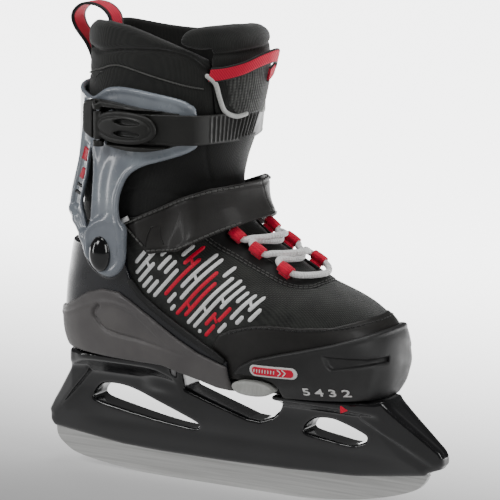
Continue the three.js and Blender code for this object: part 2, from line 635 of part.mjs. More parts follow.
function badgeSolid() {
  const z = Z(87);
  const x = X(45);
  const pill = [];
  for (let i = 0; i < 24; i++) {
    const a = (2 * Math.PI * i) / 24;
    pill.push([x + Math.sign(Math.cos(a)) * 11.5 + 3.6 * Math.cos(a), z + 3.6 * Math.sin(a)]);
  }
  return skin(SHELL_WALL + 1.1, SHELL_WALL + 0.3, Z(76), Z(100)).intersect(sideSlab(pill, -80, 0));
}
piece("toe", "toe_badge", badgeSolid(), badgeRed);

function buttonSolid() {
  const [x, z] = BUTTON_AT;
  const oval = [];
  for (let i = 0; i < 32; i++) {
    const a = (2 * Math.PI * i) / 32;
    oval.push([x + BUTTON_HALF_LENGTH * powSigned(Math.cos(a), 0.8), z + BUTTON_HALF_HEIGHT * Math.sin(a)]);
  }
  const outer = Y(-43.5);
  const head = sideSlab(oval, outer, outer + BUTTON_THICKNESS);
  return head.add(rod(BUTTON_STEM_R, [x, outer + 1, z], [x, Y(-29), z]));
}
piece("button", "size_button", buttonSolid(), buttonGrey);

class Coil extends THREE.Curve {
  constructor(r, x, z, y0, y1, turns) {
    super();
    Object.assign(this, { r, x, z, y0, y1, turns });
  }
  getPoint(t, target = new THREE.Vector3()) {
    const a = 2 * Math.PI * this.turns * t;
    return target.set(this.x + this.r * Math.cos(a), this.y0 + (this.y1 - this.y0) * t, this.z + this.r * Math.sin(a));
  }
}
function wire(curve, r, sides, steps) {
  const section = new THREE.Shape();
  for (let i = 0; i < sides; i++) {
    const a = (2 * Math.PI * i) / sides;
    if (i) section.lineTo(r * Math.cos(a), r * Math.sin(a));
    else section.moveTo(r, 0);
  }
  section.closePath();
  return solid(new THREE.ExtrudeGeometry(section, { steps, extrudePath: curve, bevelEnabled: false }));
}
const springFrom = Y(-43.5) + BUTTON_THICKNESS + SPRING_WIRE_R + 0.15;
const springTo = Y(-33) - SPRING_WIRE_R - 0.15;
piece("button", "size_button_spring",
  wire(new Coil(3.4, BUTTON_AT[0], BUTTON_AT[1], springFrom, springTo, SPRING_COILS), SPRING_WIRE_R, 5, 36),
  zincSteel);

// ---------------------------------------------------------------- cuff
const standOff = (x, z) => {
  const t = clamp01((z / HEIGHT_SCALE - 176) / 34);
  return CUFF_STAND_OFF_LOW + (CUFF_STAND_OFF_HIGH - CUFF_STAND_OFF_LOW) * t * t * (3 - 2 * t);
};
const CUFF_SIDE = [
  [-128, 174], [-110, 171], [-103, 155], [-90.5, 140], [-83.5, 134], [-74, 132], [-65, 134.5],
  [-58.5, 143], [-58.5, 160], [-60.5, 180], [-58, 192], [-53, 200], [-44, 205.5], [-30, 210], [-17, 215],
  [-11, 222], [-11, 240], [-14, 245], [-24, 249], [-52, 253], [-70, 252], [-84, 245], [-98, 247],
  [-128, 249],
];
const CUFF_SLOT = [
  [-90, 217], [-86, 214], [-83, 202], [-81.5, 189], [-84, 166], [-87, 168], [-91, 176], [-93, 196], [-93, 210],
];
function cuffSolid() {
  let body = form((x, z) => standOff(x, z) + CUFF_WALL, Z(125), Z(256))
    .subtract(form(standOff, Z(124), Z(257)))
    .intersect(sideSlab(xz(CUFF_SIDE), -80, 80));
  for (const side of [-1, 1]) {
    const y0 = Y(PIVOT_BOSS_Y) + LOBE_GAP;
    body = body.subtract(earSolid(side, PIVOT_BOSS_R + 3, Y(20), y0));
    body = body.add(earSolid(side, LOBE_R, y0, y0 + LOBE_WALL));
    body = body.subtract(
      bore(PIVOT_R, RUNNING_GAP, [PIVOT[0], side * Y(25), PIVOT[1]], [PIVOT[0], side * Y(60), PIVOT[1]]),
    );
  }
  body = body.subtract(sideSlab(xz(CUFF_SLOT), -80, 80, 40));
  for (const r of BUCKLE_RIVETS) body = body.subtract(rivetHole(r));
  return body.subtract(rivetHole(LADDER_RIVET));
}
// Rivets through the cuff: station, height, side.
const BUCKLE_RIVETS = [[X(-65.5), Z(224.5), -1], [X(-65.5), Z(235.5), -1]];
const LADDER_RIVET = [X(-40), Z(230), 1];
const rivetY = ([x, z, side]) => side * (sideY(x, z, 0) + CUFF_STAND_OFF_HIGH);
function rivetHole(r) {
  const y = rivetY(r);
  return bore(2, 0.1, [r[0], y - r[2] * 6, r[1]], [r[0], y + r[2] * 14, r[1]], 20);
}
function rivetSolid(r, reach) {
  const y = rivetY(r);
  const s = r[2];
  const stem = rod(2, [r[0], y - s * 0.6, r[1]], [r[0], y + s * reach, r[1]], 20);
  return stem.add(rod(3.4, [r[0], y + s * reach, r[1]], [r[0], y + s * (reach + 1), r[1]], 20));
}
piece("cuff", "cuff", cuffSolid(), cuffGrey);

function pivotSolid(side) {
  const inner = Y(sideY(PIVOT[0], PIVOT[1], 0)) + 1.2;
  const lobe = Y(PIVOT_BOSS_Y) + LOBE_GAP + LOBE_WALL;
  const stem = rod(PIVOT_R, [PIVOT[0], side * inner, PIVOT[1]], [PIVOT[0], side * (lobe + 1.5), PIVOT[1]]);
  const dome = new THREE.SphereGeometry(1, 24, 12);
  dome.scale(7.4, 5, 9.6);
  dome.translate(PIVOT[0], side * lobe, PIVOT[1]);
  const outside = box(
    PIVOT[0] - 20, PIVOT[0] + 20, Math.min(side * (lobe + SLIDE_GAP), side * 80),
    Math.max(side * (lobe + SLIDE_GAP), side * 80), PIVOT[1] - 20, PIVOT[1] + 20);
  return stem.add(solid(dome).intersect(outside));
}
piece("frame", "ankle_pivot_outer", pivotSolid(-1), capBlack);
piece("frame", "ankle_pivot_inner", pivotSolid(1), capBlack);

// ---------------------------------------------------------------- collar and upper tongue
const COLLAR_FRONT = -5;
function collarSolid() {
  const side = xz([
    [-130, SHAFT_BASE], [COLLAR_FRONT, SHAFT_BASE], [COLLAR_FRONT, 266], [-8, 271], [-17, 275], [-31, 279.5],
    [-46, 283], [-60, 285], [-78, 286], [-90, 285], [-98, 282], [-102, 278], [-130, 262],
  ]);
  // The rim falls away towards the inner side.
  const rim = [[-70, SHAFT_BASE], [70, SHAFT_BASE], [70, 270], [41, 277], [10, 288], [-70, 300]]
    .map(([y, z]) => [Y(y), Z(z)]);
  return skin(0, -COLLAR_WALL, Z(SHAFT_BASE), Z(293))
    .intersect(sideSlab(side, -80, 80))
    .intersect(frontSlab(rim, X(-140), X(60)));
}
piece("cuff", "collar", collarSolid(), knitFabric);

function upperTongueSolid() {
  const rear = COLLAR_FRONT + 0.5;
  const side = xz([
    [rear, SHAFT_BASE], [40, SHAFT_BASE], [40, 285], [9, 288], [4, 291.5], [rear, 291.5],
  ]);
  const front = [
    [-46, SHAFT_BASE - 1], [44, SHAFT_BASE - 1], [39, 257], [34, 268], [26, 278], [15, 286.5], [2, 291],
    [-12, 291.5], [-24, 288], [-32, 280], [-40, 266],
  ].map(([y, z]) => [Y(y), Z(z)]);
  return skin(0, -COLLAR_WALL, Z(SHAFT_BASE), Z(293.5))
    .intersect(sideSlab(side, -80, 80))
    .intersect(frontSlab(front, X(-60), X(60)))
    .subtract(ladderGroove());
}
piece("cuff", "tongue_upper", upperTongueSolid(), knitFabric);

function pullLoopSolid() {
  const back = X(-104);
  const path = [
    [back - 1.3, Z(252)], [back - 1.4, Z(262)], [back - 6, Z(272)], [back - 15, Z(283)], [back - 16, Z(291)],
    [back - 8, Z(297.3)], [back + 3, Z(296.5)], [back + 11, Z(290)], [back + 12.4, Z(278)],
  ];
  return sideSlab(bandOutline(path, WEBBING_T, 36), Y(-7.5), Y(7.5));
}
piece("cuff", "heel_pull_loop", pullLoopSolid(), redWebbing);

function tongueLoopSolid() {
  const z0 = Z(262);
  const z1 = Z(275);
  const mid = (z0 + z1) / 2;
  const on = (y, lift) => [frontX(Y(y), mid, 0) + lift, Y(y)];
  const path = [on(-28, 1.6), on(-24, 3.6), on(-15, 6), on(-4, 8), on(5, 7.5), on(10, 4.6), on(9, 1.6)];
  return planSlab(bandOutline(path, WEBBING_T, 32), z0, z1);
}
piece("cuff", "tongue_pull_loop", tongueLoopSolid(), redWebbing);

// ---------------------------------------------------------------- ratchet buckle and ladder strap
const BUCKLE_SIDE = [
  [-84, 233], [-82, 241], [-64, 243.5], [-42, 241], [-20, 239], [-20, 220], [-39, 216], [-58, 218], [-80, 225],
];
const LEVER_PIN_X = X(-74);
function buckleBaseSolid() {
  const side = sideSlab(xz(BUCKLE_SIDE), -80, 0);
  let body = skin(baseOut, baseIn, Z(212), Z(247)).intersect(side);
  const rails = skin(leverIn + 1.8, baseIn, Z(212), Z(247)).intersect(side);
  const gap = LADDER_HALF + STACK_GAP;
  body = body.add(rails.subtract(box(X(-200), X(200), -80, 0, BUCKLE_Z - gap, BUCKLE_Z + gap)));
  const pinY = leverPinY();
  body = body.subtract(bore(BUCKLE_PIN_R, 0.1, [LEVER_PIN_X, pinY, Z(205)], [LEVER_PIN_X, pinY, Z(255)], 20));
  for (const r of BUCKLE_RIVETS) {
    const y = rivetY(r);
    body = body.subtract(bore(2, 0.1, [r[0], y + 6, r[1]], [r[0], y - 14, r[1]], 20));
    body = body.subtract(rod(3.8, [r[0], y - (CUFF_WALL + STACK_GAP + 0.4), r[1]], [r[0], y - 14, r[1]], 20));
  }
  return body;
}
const leverPinY = () => -(sideY(LEVER_PIN_X, BUCKLE_Z, 0) + leverIn + 1.2);
function ladderSolid() {
  const side = xz([[-59, 240], [-59, 219], [60, 219], [60, 240]]).map(([x, z], i) => [
    x, BUCKLE_Z + (i === 0 || i === 3 ? LADDER_HALF : -LADDER_HALF),
  ]);
  const wrap = form(ladderGrow(ladderOut), Z(214), Z(245)).subtract(form(ladderGrow(ladderIn), Z(213), Z(246)));
  return wrap.intersect(sideSlab(side, -80, 80)).subtract(rivetHole(LADDER_RIVET));
}
function leverSolid() {
  const oval = [];
  const x0 = LEVER_PIN_X + 0.5;
  const x1 = X(-30);
  const half = LADDER_HALF - 0.6;
  for (let i = 0; i < 36; i++) {
    const a = (2 * Math.PI * i) / 36;
    oval.push([
      (x0 + x1) / 2 + ((x1 - x0) / 2) * powSigned(Math.cos(a), 0.75), BUCKLE_Z + half * powSigned(Math.sin(a), 0.75),
    ]);
  }
  let body = skin(leverOut, leverIn, Z(214), Z(245)).intersect(sideSlab(oval, -80, 0));
  const y = leverPinY();
  body = body.add(rod(2.7, [LEVER_PIN_X, y, BUCKLE_Z - half + 1], [LEVER_PIN_X, y, BUCKLE_Z + half - 1], 24));
  return body.subtract(bore(BUCKLE_PIN_R, 0.1, [LEVER_PIN_X, y, Z(205)], [LEVER_PIN_X, y, Z(255)], 20));
}
piece("cuff", "buckle_base", buckleBaseSolid(), buckleBlack);
piece("cuff", "ladder_strap", ladderSolid(), buckleBlack);
piece("lever", "buckle_lever", leverSolid(), buckleBlack);
piece("cuff", "buckle_lever_pin",
  rod(BUCKLE_PIN_R, [LEVER_PIN_X, leverPinY(), BUCKLE_Z - 13], [LEVER_PIN_X, leverPinY(), BUCKLE_Z + 13], 20), zincSteel);
piece("cuff", "buckle_rivet_lower", rivetSolid(BUCKLE_RIVETS[0], CUFF_WALL + STACK_GAP + 0.6), zincSteel);
piece("cuff", "buckle_rivet_upper", rivetSolid(BUCKLE_RIVETS[1], CUFF_WALL + STACK_GAP + 0.6), zincSteel);
piece("cuff", "ladder_strap_rivet",
  rivetSolid(LADDER_RIVET, CUFF_WALL + ladderOut - cuffFace + STACK_GAP), zincSteel);

// ---------------------------------------------------------------- lace, its loops and the instep strap
const LOOP_STATIONS = [142.7, 153, 161.5];
const LOOP_Y = 18;
const LACE_LOOP_HALF_W = 5;
const LACE_LOOP_HALF_H = 4.2;
const LACE_LOOP_WALL = 0.9;
const LACE_LOOP_LIFT = 0.9; // the flat loop clears the round of the instep
// A point on the boot's front surface, with the directions up the slope, outwards and across.
function surfaceFrame(y, z) {
  const at = (v, h) => new THREE.Vector3(frontX(Math.abs(v), h, 0), v, h);
  const foot = at(y, z);
  const s = at(y, z + 5).sub(at(y, z - 5)).normalize();
  const w = at(y + 1.5, z).sub(at(y - 1.5, z));
  const n = s.clone().cross(w).normalize();
  if (n.x < 0) n.negate();
  const t = n.clone().cross(s);
  return { foot, s, n, t };
}
function loopFrame(k, side) {
  const f = surfaceFrame(side * Y(LOOP_Y), Z(LOOP_STATIONS[k]));
  f.centre = f.foot.clone().addScaledVector(f.n, LACE_LOOP_HALF_H + LACE_LOOP_LIFT);
  return f;
}
function laceLoopSolid(k, side) {
  const { s, n, t, centre } = loopFrame(k, side);
  const rect = (a, b) => [[-a, -b], [a, -b], [a, b], [-a, b]].map(([u, v]) => new THREE.Vector2(u, v));
  const shape = new THREE.Shape(rect(LACE_LOOP_HALF_W, LACE_LOOP_HALF_H));
  shape.holes.push(new THREE.Path(rect(LACE_LOOP_HALF_W - LACE_LOOP_WALL, LACE_LOOP_HALF_H - LACE_LOOP_WALL)));
  const g = prism(shape, LACE_LOOP_LENGTH);
  g.translate(0, 0, -LACE_LOOP_LENGTH / 2);
  g.applyMatrix4(new THREE.Matrix4().makeBasis(t, n, s));
  g.translate(centre.x, centre.y, centre.z);
  return solid(g);
}
const LOOP_NAMES = ["lower", "middle", "top"];
for (let k = 0; k < 3; k++) {
  piece("frame", "lace_loop_" + LOOP_NAMES[k] + "_outer", laceLoopSolid(k, -1), redWebbing);
  piece("frame", "lace_loop_" + LOOP_NAMES[k] + "_inner", laceLoopSolid(k, 1), redWebbing);
}

// The lace runs straight across at the bottom and crosses twice on its way up; its ends tuck under the strap.
// Crossing strands climb over the tongue at two heights, so that one passes above the other.
function crossing(side, z0, z1, over) {
  const lifts = over ? [4.2, 4.6, 5.6] : [3.3, 2.0, 0.6];
  const stops = [0.78, 0.45, 0, -0.45, -0.78];
  return stops.map((v) => {
    const f = surfaceFrame(side * Y(LOOP_Y) * v, z0 + ((z1 - z0) * (1 - v)) / 2);
    return f.foot.addScaledVector(f.n, lifts[v === 0 ? 2 : Math.abs(v) < 0.6 ? 1 : 0]);
  });
}
function lacePath() {
  const reach = LACE_LOOP_LENGTH / 2 + 1.2;
  const strand = (start, over) => {
    const out = [];
    let side = start;
    for (let k = 0; k < 3; k++) {
      const f = loopFrame(k, side);
      const inset = new THREE.Vector3(0, -side * 0.5, 0);
      out.push(f.centre.clone().addScaledVector(f.s, -reach).add(inset));
      out.push(f.centre.clone().addScaledVector(f.s, reach).add(inset));
      if (k < 2) {
        const z0 = f.centre.z + reach * f.s.z - 0.6;
        const z1 = loopFrame(k + 1, -side).centre.z - reach * f.s.z - 3;
        out.push(...crossing(side, z0, z1, over === (k === 0)));
      }
      side = -side;
    }
    const end = surfaceFrame(-side * Y(10), Z(176));
    out.push(end.foot.addScaledVector(end.n, 2));
    return out;
  };
  const z = loopFrame(0, 1).centre.z - reach * 0.6 - 4;
  const bar = [1, 0, -1].map((v) => {
    const f = surfaceFrame(v * Y(LOOP_Y) * 0.6, z);
    return f.foot.addScaledVector(f.n, v ? 3.6 : 3.2);
  });
  return strand(1, true).reverse().concat(bar, strand(-1, false));
}
const laceCurve = new THREE.CatmullRomCurve3(lacePath(), false, "centripetal");
piece("frame", "lace", wire(laceCurve, LACE_R, 6, 96), whiteCord);

const STRAP_SIDE = [
  [-63, 168], [-53, 159], [-43, 151], [-20, 155], [0, 165.5], [16, 173], [32, 178], [28, 192], [12, 198],
  [-4, 195], [-24, 187], [-44, 177],
];
// The strap lies on the boot at the sides and rides over the lace and its loops at the front.
const strapRise = (base) => (x) => {
  const t = clamp01((x - X(-34)) / X(26));
  return base + (STRAP_STAND_OFF_FRONT - STRAP_STAND_OFF) * t * t * (3 - 2 * t);
};
function strapSolid(y0, y1) {
  return skin(strapRise(STRAP_STAND_OFF + STRAP_T), strapRise(STRAP_STAND_OFF), Z(140), Z(205))
    .intersect(sideSlab(xz(STRAP_SIDE), y0, y1));
}
piece("strap", "instep_strap", strapSolid(-80, Y(1.8)), leatherette);
piece("frame", "instep_strap_anchor", strapSolid(Y(2.2), 80), leatherette);

export default skate;
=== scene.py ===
"""Looks of a child's size-adjustable ice skate, right foot. +X to the toe, +Y to the inner side, +Z up.

Shapes are worked out in millimetres as signed fields round the boot's foot form, then turned into meshes.
"""
import math

import bpy
import numpy as np
import openvdb
from mathutils import Matrix, Vector


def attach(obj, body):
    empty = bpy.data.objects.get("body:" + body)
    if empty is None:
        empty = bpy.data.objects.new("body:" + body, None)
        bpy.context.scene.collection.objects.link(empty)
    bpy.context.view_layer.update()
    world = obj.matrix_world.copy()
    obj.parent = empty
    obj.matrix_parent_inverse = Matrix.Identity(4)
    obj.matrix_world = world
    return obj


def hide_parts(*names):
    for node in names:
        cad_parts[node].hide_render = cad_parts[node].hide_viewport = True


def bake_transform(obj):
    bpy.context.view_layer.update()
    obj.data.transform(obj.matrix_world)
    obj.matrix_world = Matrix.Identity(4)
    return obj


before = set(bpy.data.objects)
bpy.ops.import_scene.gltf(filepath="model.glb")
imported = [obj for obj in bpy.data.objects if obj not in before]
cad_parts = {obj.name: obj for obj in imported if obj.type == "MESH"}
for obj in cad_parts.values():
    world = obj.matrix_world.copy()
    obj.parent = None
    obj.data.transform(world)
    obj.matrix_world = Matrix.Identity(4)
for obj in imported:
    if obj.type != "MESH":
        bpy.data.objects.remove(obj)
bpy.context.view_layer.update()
MM = 0.001
COARSE = 1.0

# ---------------------------------------------------------------- camera
camera = bpy.data.objects.new("camera", bpy.data.cameras.new("camera"))
bpy.context.scene.collection.objects.link(camera)
camera.location = Vector((1013.57, -1679.0, 532.14)) * MM
aim = Vector((2.42, 3.84, 150.52)) * MM
camera.rotation_euler = (aim - camera.location).to_track_quat("-Z", "Y").to_euler()
camera.data.sensor_width = 36
camera.data.lens = 233.94
camera.data.clip_start, camera.data.clip_end = 0.1, 20
bpy.context.scene.camera = camera


# ---------------------------------------------------------------- materials
def srgb(text):
    """A #rrggbb colour as linear RGBA."""
    parts = [int(text[i:i + 2], 16) / 255 for i in (1, 3, 5)]
    return [c / 12.92 if c <= 0.04045 else ((c + 0.055) / 1.055) ** 2.4 for c in parts] + [1.0]


def node(tree, kind, settings=None, **inputs):
    """Adds a node: settings are its own properties, inputs are socket values or links."""
    made = tree.nodes.new("ShaderNode" + kind)
    for key, value in (settings or {}).items():
        setattr(made, key, value)
    for key, value in inputs.items():
        name = key.replace("_", " ")
        found = [s for s in made.inputs if s.name == name or s.identifier == key]
        socket = found[0] if found else made.inputs[int(key[1:])]
        if isinstance(value, bpy.types.NodeSocket):
            tree.links.new(value, socket)
        else:
            socket.default_value = value
    return made


def material(name, roughness, metallic=0.0, coat=0.0, sheen=0.0, ior=1.46):
    """A new material and its tree, shader and object coordinates."""
    made = bpy.data.materials.new(name)
    made.use_nodes = True
    tree = made.node_tree
    shader = tree.nodes["Principled BSDF"]
    shader.inputs["Roughness"].default_value = roughness
    shader.inputs["Metallic"].default_value = metallic
    shader.inputs["Coat Weight"].default_value = coat
    shader.inputs["Coat Roughness"].default_value = 0.12
    shader.inputs["Sheen Weight"].default_value = sheen
    shader.inputs["Sheen Roughness"].default_value = 0.5
    if not metallic:
        shader.inputs["IOR"].default_value = ior
    place = node(tree, "TexCoord").outputs["Object"]
    return made, tree, shader, place


def ramp(tree, value, low, high, *colours):
    """Colours spread evenly between two values of a pattern."""
    made = node(tree, "ValToRGB", Fac=value)
    stops = made.color_ramp.elements
    while len(stops) < len(colours):
        stops.new(0.5)
    for k, colour in enumerate(colours):
        stops[k].position = low + (high - low) * k / max(1, len(colours) - 1)
        stops[k].color = srgb(colour) if isinstance(colour, str) else [colour] * 3 + [1]
    return made.outputs["Color"]


def moulded(name, dark, light, roughness, spread=0.08, coat=0.0, grain=0.5, depth=0.05, ior=1.5):
    """Injection-moulded plastic: fine spark-eroded grain in mm, a soft drift of tone, uneven gloss."""
    made, tree, shader, place = material(name, roughness, coat=coat, ior=ior)
    drift = node(tree, "TexNoise", Vector=place, Scale=1 / (25 * MM), Detail=3.0).outputs["Fac"]
    tree.links.new(ramp(tree, drift, 0.35, 0.65, dark, light), shader.inputs["Base Color"])
    gloss = node(tree, "TexNoise", Vector=place, Scale=1 / (8 * MM), Detail=4.0).outputs["Fac"]
    tree.links.new(
        ramp(tree, gloss, 0.3, 0.7, roughness - spread, roughness + spread), shader.inputs["Roughness"])
    fine = node(tree, "TexNoise", Vector=place, Scale=1 / (grain * MM), Detail=2.0).outputs["Fac"]
    bump = node(tree, "Bump", Strength=depth * 4, Distance=0.02 * MM * 4, Height=fine)
    tree.links.new(bump.outputs["Normal"], shader.inputs["Normal"])
    return made


def woven(name, dark, light, pitch, depth=0.12, roughness=0.85, sheen=0.3, mottle=12):
    """Cloth with threads at a real pitch in mm: crossing waves for warp and weft, and a mottle of tone."""
    made, tree, shader, place = material(name, roughness, sheen=sheen, ior=1.45)
    scale = 2 * math.pi / (pitch * MM) / 20
    waves = []
    for axis in ("X", "Z", "Y"):
        wave = node(tree, "TexWave", {"bands_direction": axis}, Vector=place, Scale=scale, Distortion=1.5,
                    Detail=1.0, Detail_Scale=1.0)
        waves.append(wave.outputs["Fac"])
    cross = node(tree, "Math", {"operation": "MULTIPLY"}, i0=waves[0], i1=waves[1]).outputs[0]
    threads = node(tree, "Math", {"operation": "ADD"}, i0=cross, i1=waves[2]).outputs[0]
    patches = node(tree, "TexNoise", Vector=place, Scale=1 / (mottle * MM), Detail=5.0).outputs["Fac"]
    mixed = node(tree, "Math", {"operation": "MULTIPLY_ADD"}, i0=threads, i1=0.3, i2=patches).outputs[0]
    tree.links.new(ramp(tree, mixed, 0.35, 1.0, dark, light), shader.inputs["Base Color"])
    bump = node(tree, "Bump", Strength=0.9, Distance=depth * MM, Height=threads)
    tree.links.new(bump.outputs["Normal"], shader.inputs["Normal"])
    return made


def steel(name, dark, light, roughness, along_x):
    """Steel with fine lines left by the belt: noise drawn out along the piece."""
    made, tree, shader, place = material(name, roughness, metallic=1.0)
    stretch = node(tree, "Mapping", Vector=place, Scale=along_x).outputs["Vector"]
    lines = node(tree, "TexNoise", Vector=stretch, Scale=1 / (1.2 * MM), Detail=4.0).outputs["Fac"]
    tree.links.new(ramp(tree, lines, 0.3, 0.7, dark, light), shader.inputs["Base Color"])
    tree.links.new(
        ramp(tree, lines, 0.2, 0.8, roughness + 0.08, roughness - 0.05), shader.inputs["Roughness"])
    bump = node(tree, "Bump", Strength=0.25, Distance=0.02 * MM, Height=lines)
    tree.links.new(bump.outputs["Normal"], shader.inputs["Normal"])
    return made


def leather(name, dark, light, roughness):
    """Coated synthetic leather: pebbled grain cells under a satin film."""
    made, tree, shader, place = material(name, roughness, coat=0.08, ior=1.5)
    cells = node(tree, "TexVoronoi", Vector=place, Scale=1 / (0.9 * MM)).outputs["Distance"]
    creases = node(tree, "TexNoise", Vector=place, Scale=1 / (9 * MM), Detail=6.0).outputs["Fac"]
    tree.links.new(ramp(tree, creases, 0.3, 0.7, dark, light), shader.inputs["Base Color"])
    bump = node(tree, "Bump", Strength=0.5, Distance=0.08 * MM, Height=cells)
    soft = node(tree, "Bump", Strength=0.3, Distance=0.12 * MM, Height=creases,
                Normal=bump.outputs["Normal"])
    tree.links.new(soft.outputs["Normal"], shader.inputs["Normal"])
    return made


def webbing(name, edge):
    """Red woven tape with black selvedges: ribs across the tape, the edge colour by its width."""
    made, tree, shader, place = material(name, 0.75, sheen=0.2)
    share = node(tree, "Attribute", {"attribute_name": "from_middle"}).outputs["Fac"]
    ribs = node(tree, "TexWave", {"bands_direction": "DIAGONAL"}, Vector=place,
                Scale=2 * math.pi / (1.1 * MM) / 20, Distortion=0.6).outputs["Fac"]
    tone = ramp(tree, ribs, 0.0, 1.0, "#b4002a", "#f00040")
    rim = ramp(tree, share, edge - 0.03, edge + 0.03, 0.0, 1.0)
    colour = node(tree, "Mix", {"data_type": "RGBA"}, Factor_Float=rim, A_Color=tone, B_Color=srgb("#121212"))
    tree.links.new(colour.outputs[2],
                   shader.inputs["Base Color"])
    bump = node(tree, "Bump", Strength=0.7, Distance=0.12 * MM, Height=ribs)
    tree.links.new(bump.outputs["Normal"], shader.inputs["Normal"])
    return made


def printed(name, dark, light, roughness, metallic=0.0):
    """Rubbery transfer print on cloth: nearly even colour with the weave showing through as speckle."""
    made, tree, shader, place = material(name, roughness, metallic=metallic)
    weave = node(tree, "TexNoise", Vector=place, Scale=1 / (0.8 * MM), Detail=3.0).outputs["Fac"]
    tree.links.new(ramp(tree, weave, 0.35, 0.65, dark, light), shader.inputs["Base Color"])
    bump = node(tree, "Bump", Strength=0.4, Distance=0.06 * MM, Height=weave)
    tree.links.new(bump.outputs["Normal"], shader.inputs["Normal"])
    return made


MATERIALS = {
    "blade": steel("stainless_steel_belt_ground", "#c2c2c0", "#dededc", 0.36, (0.02, 1, 1)),
    "zinc": steel("zinc_plated_steel_turned", "#8f9298", "#c4c7cc", 0.28, (1, 1, 0.2)),
    "holder": moulded("nylon_gloss_moulded", "#0a0a0c", "#141416", 0.2, 0.05, coat=0.6, ior=1.53),
    "wing": moulded("polypropylene_matt_moulded", "#5a5757", "#666362", 0.46, 0.06, ior=1.49),
    "shell_gloss": moulded("nylon_blueblack_polished", "#0c0d12", "#171922", 0.28, 0.05, coat=0.4),
    "rim": moulded("soft_rubber_rim_moulded", "#121212", "#1b1b1b", 0.5, 0.06),
    "toe": moulded("nylon_satin_moulded", "#232323", "#2f2f2f", 0.48, 0.07, ior=1.5),
    "cuff": moulded("glass_filled_nylon_bluegrey", "#7e848d", "#929aa2", 0.26, 0.05, coat=0.7, ior=1.53),
    "cuff_dark": moulded("nylon_recess_black", "#101113", "#1a1b1e", 0.4),
    "cap": moulded("abs_black_polished", "#050507", "#0c0d10", 0.1, 0.03, coat=0.8, depth=0.01),
    "buckle": moulded("nylon_buckle_satin", "#1c1c1a", "#272725", 0.48, 0.07),
    "button": moulded("acetal_pale_grey", "#a9aaa6", "#c6c7c2", 0.45, 0.06),
    "hatch": moulded("pad_printed_red", "#c0002c", "#d80034", 0.45),
    "badge_red": moulded("enamelled_badge_red", "#dc0034", "#f00a40", 0.3),
    "badge_white": moulded("enamelled_badge_white", "#e8e8e6", "#f7f7f5", 0.3),
    "mesh": woven("polyester_air_mesh", "#050605", "#2c2e2a", 0.9, 0.16, mottle=10),
    "knit": woven("polyester_tricot_brushed", "#0c0d0b", "#1d1e1b", 0.7, 0.1, sheen=0.25, mottle=14),
    "panel": woven("nylon_plain_weave_panel", "#080808", "#141513", 0.6, 0.06, roughness=0.7, sheen=0.1),
    "patch": woven("polyester_dotted_jacquard", "#161616", "#4a4b48", 1.8, 0.2, mottle=5),
    "leather": leather("polyurethane_leather_strap", "#191715", "#23211f", 0.6),
    "rand": leather("polyurethane_leather_rand", "#161513", "#211f1d", 0.5),
    "thread_dark": woven("nylon_thread_black", "#060606", "#131313", 0.5, 0.05),
    # Grey thread with painted highlight: on the instep strap the real stitches are dark, and this lighter grey stands
    # in for their lit edges.
    "thread_grey_and_painted_highlight": woven("nylon_thread_grey", "#3c3c3a", "#5a5a57", 0.5, 0.05),
    "piping": woven("reflective_piping_grey", "#b3b4b1", "#dcddd9", 0.6, 0.05, roughness=0.5),
    "print_silver": printed("screen_print_silver", "#e6e7e5", "#ffffff", 0.4),
    "print_red": printed("screen_print_red", "#d60030", "#f6003c", 0.5),
    "print_white": printed("pad_print_white", "#dcdcda", "#f4f4f2", 0.5),
    "lace": woven("polyester_lace_braid", "#e6e5e2", "#ffffff", 1.5, 0.2, roughness=0.7, sheen=0.2, mottle=3),
    "foam": woven("eva_foam_with_jersey", "#2c2c2b", "#454543", 1.2, 0.1),
    "heel_tape": webbing("polyester_tape_heel", 0.72),
    "tongue_tape": webbing("polyester_tape_tongue", 0.8),
    "loop_tape": woven("polyester_tape_red", "#b4002a", "#ee003c", 1.0, 0.15, sheen=0.15, mottle=4),
}



# ---------------------------------------------------------------- foot form (millimetres)
# Level sections: height, heel, toe, width factor, heel roundness, toe roundness.
SECTIONS = np.array([
    [66, -106, 95, 0.64, 2.6, 3.0], [72, -113, 100, 0.76, 2.6, 3.0], [80, -119, 104, 0.87, 2.6, 3.0],
    [90, -122.5, 105.5, 0.94, 2.6, 2.9], [104, -123, 104, 1.0, 2.6, 2.8], [113, -122.3, 101, 1.01, 2.6, 2.6],
    [120, -121.5, 94.5, 1.01, 2.6, 2.4], [127, -120.3, 83, 1.02, 2.6, 2.2], [136, -118.5, 63, 1.03, 2.5, 1.8],
    [143, -116.8, 52, 1.04, 2.5, 1.6], [150, -115, 41, 1.05, 2.5, 1.45], [164, -111.5, 18, 1.06, 2.5, 1.35],
    [178, -108.5, 3, 1.06, 2.5, 1.45], [192, -106, -3, 1.07, 2.5, 1.7], [206, -104.5, -2, 1.07, 2.5, 1.9],
    [222, -104, 4, 1.06, 2.5, 1.9], [242, -104, 10.5, 1.06, 2.5, 1.9], [262, -104, 14.5, 1.06, 2.5, 1.9],
    [280, -103.5, 13.5, 1.05, 2.5, 1.9], [294, -102, 8, 1.03, 2.5, 1.9]])
# Half width along the boot, and how far the toe turns to the inner side.
WIDTHS = np.array([
    [-130, 34, 0], [-90, 36, 0], [-74, 37.2, 0], [-50, 38, 0], [-20, 39, 0], [14, 42, 0], [45, 44, 0],
    [75, 42.5, 2], [115, 37, 7]])


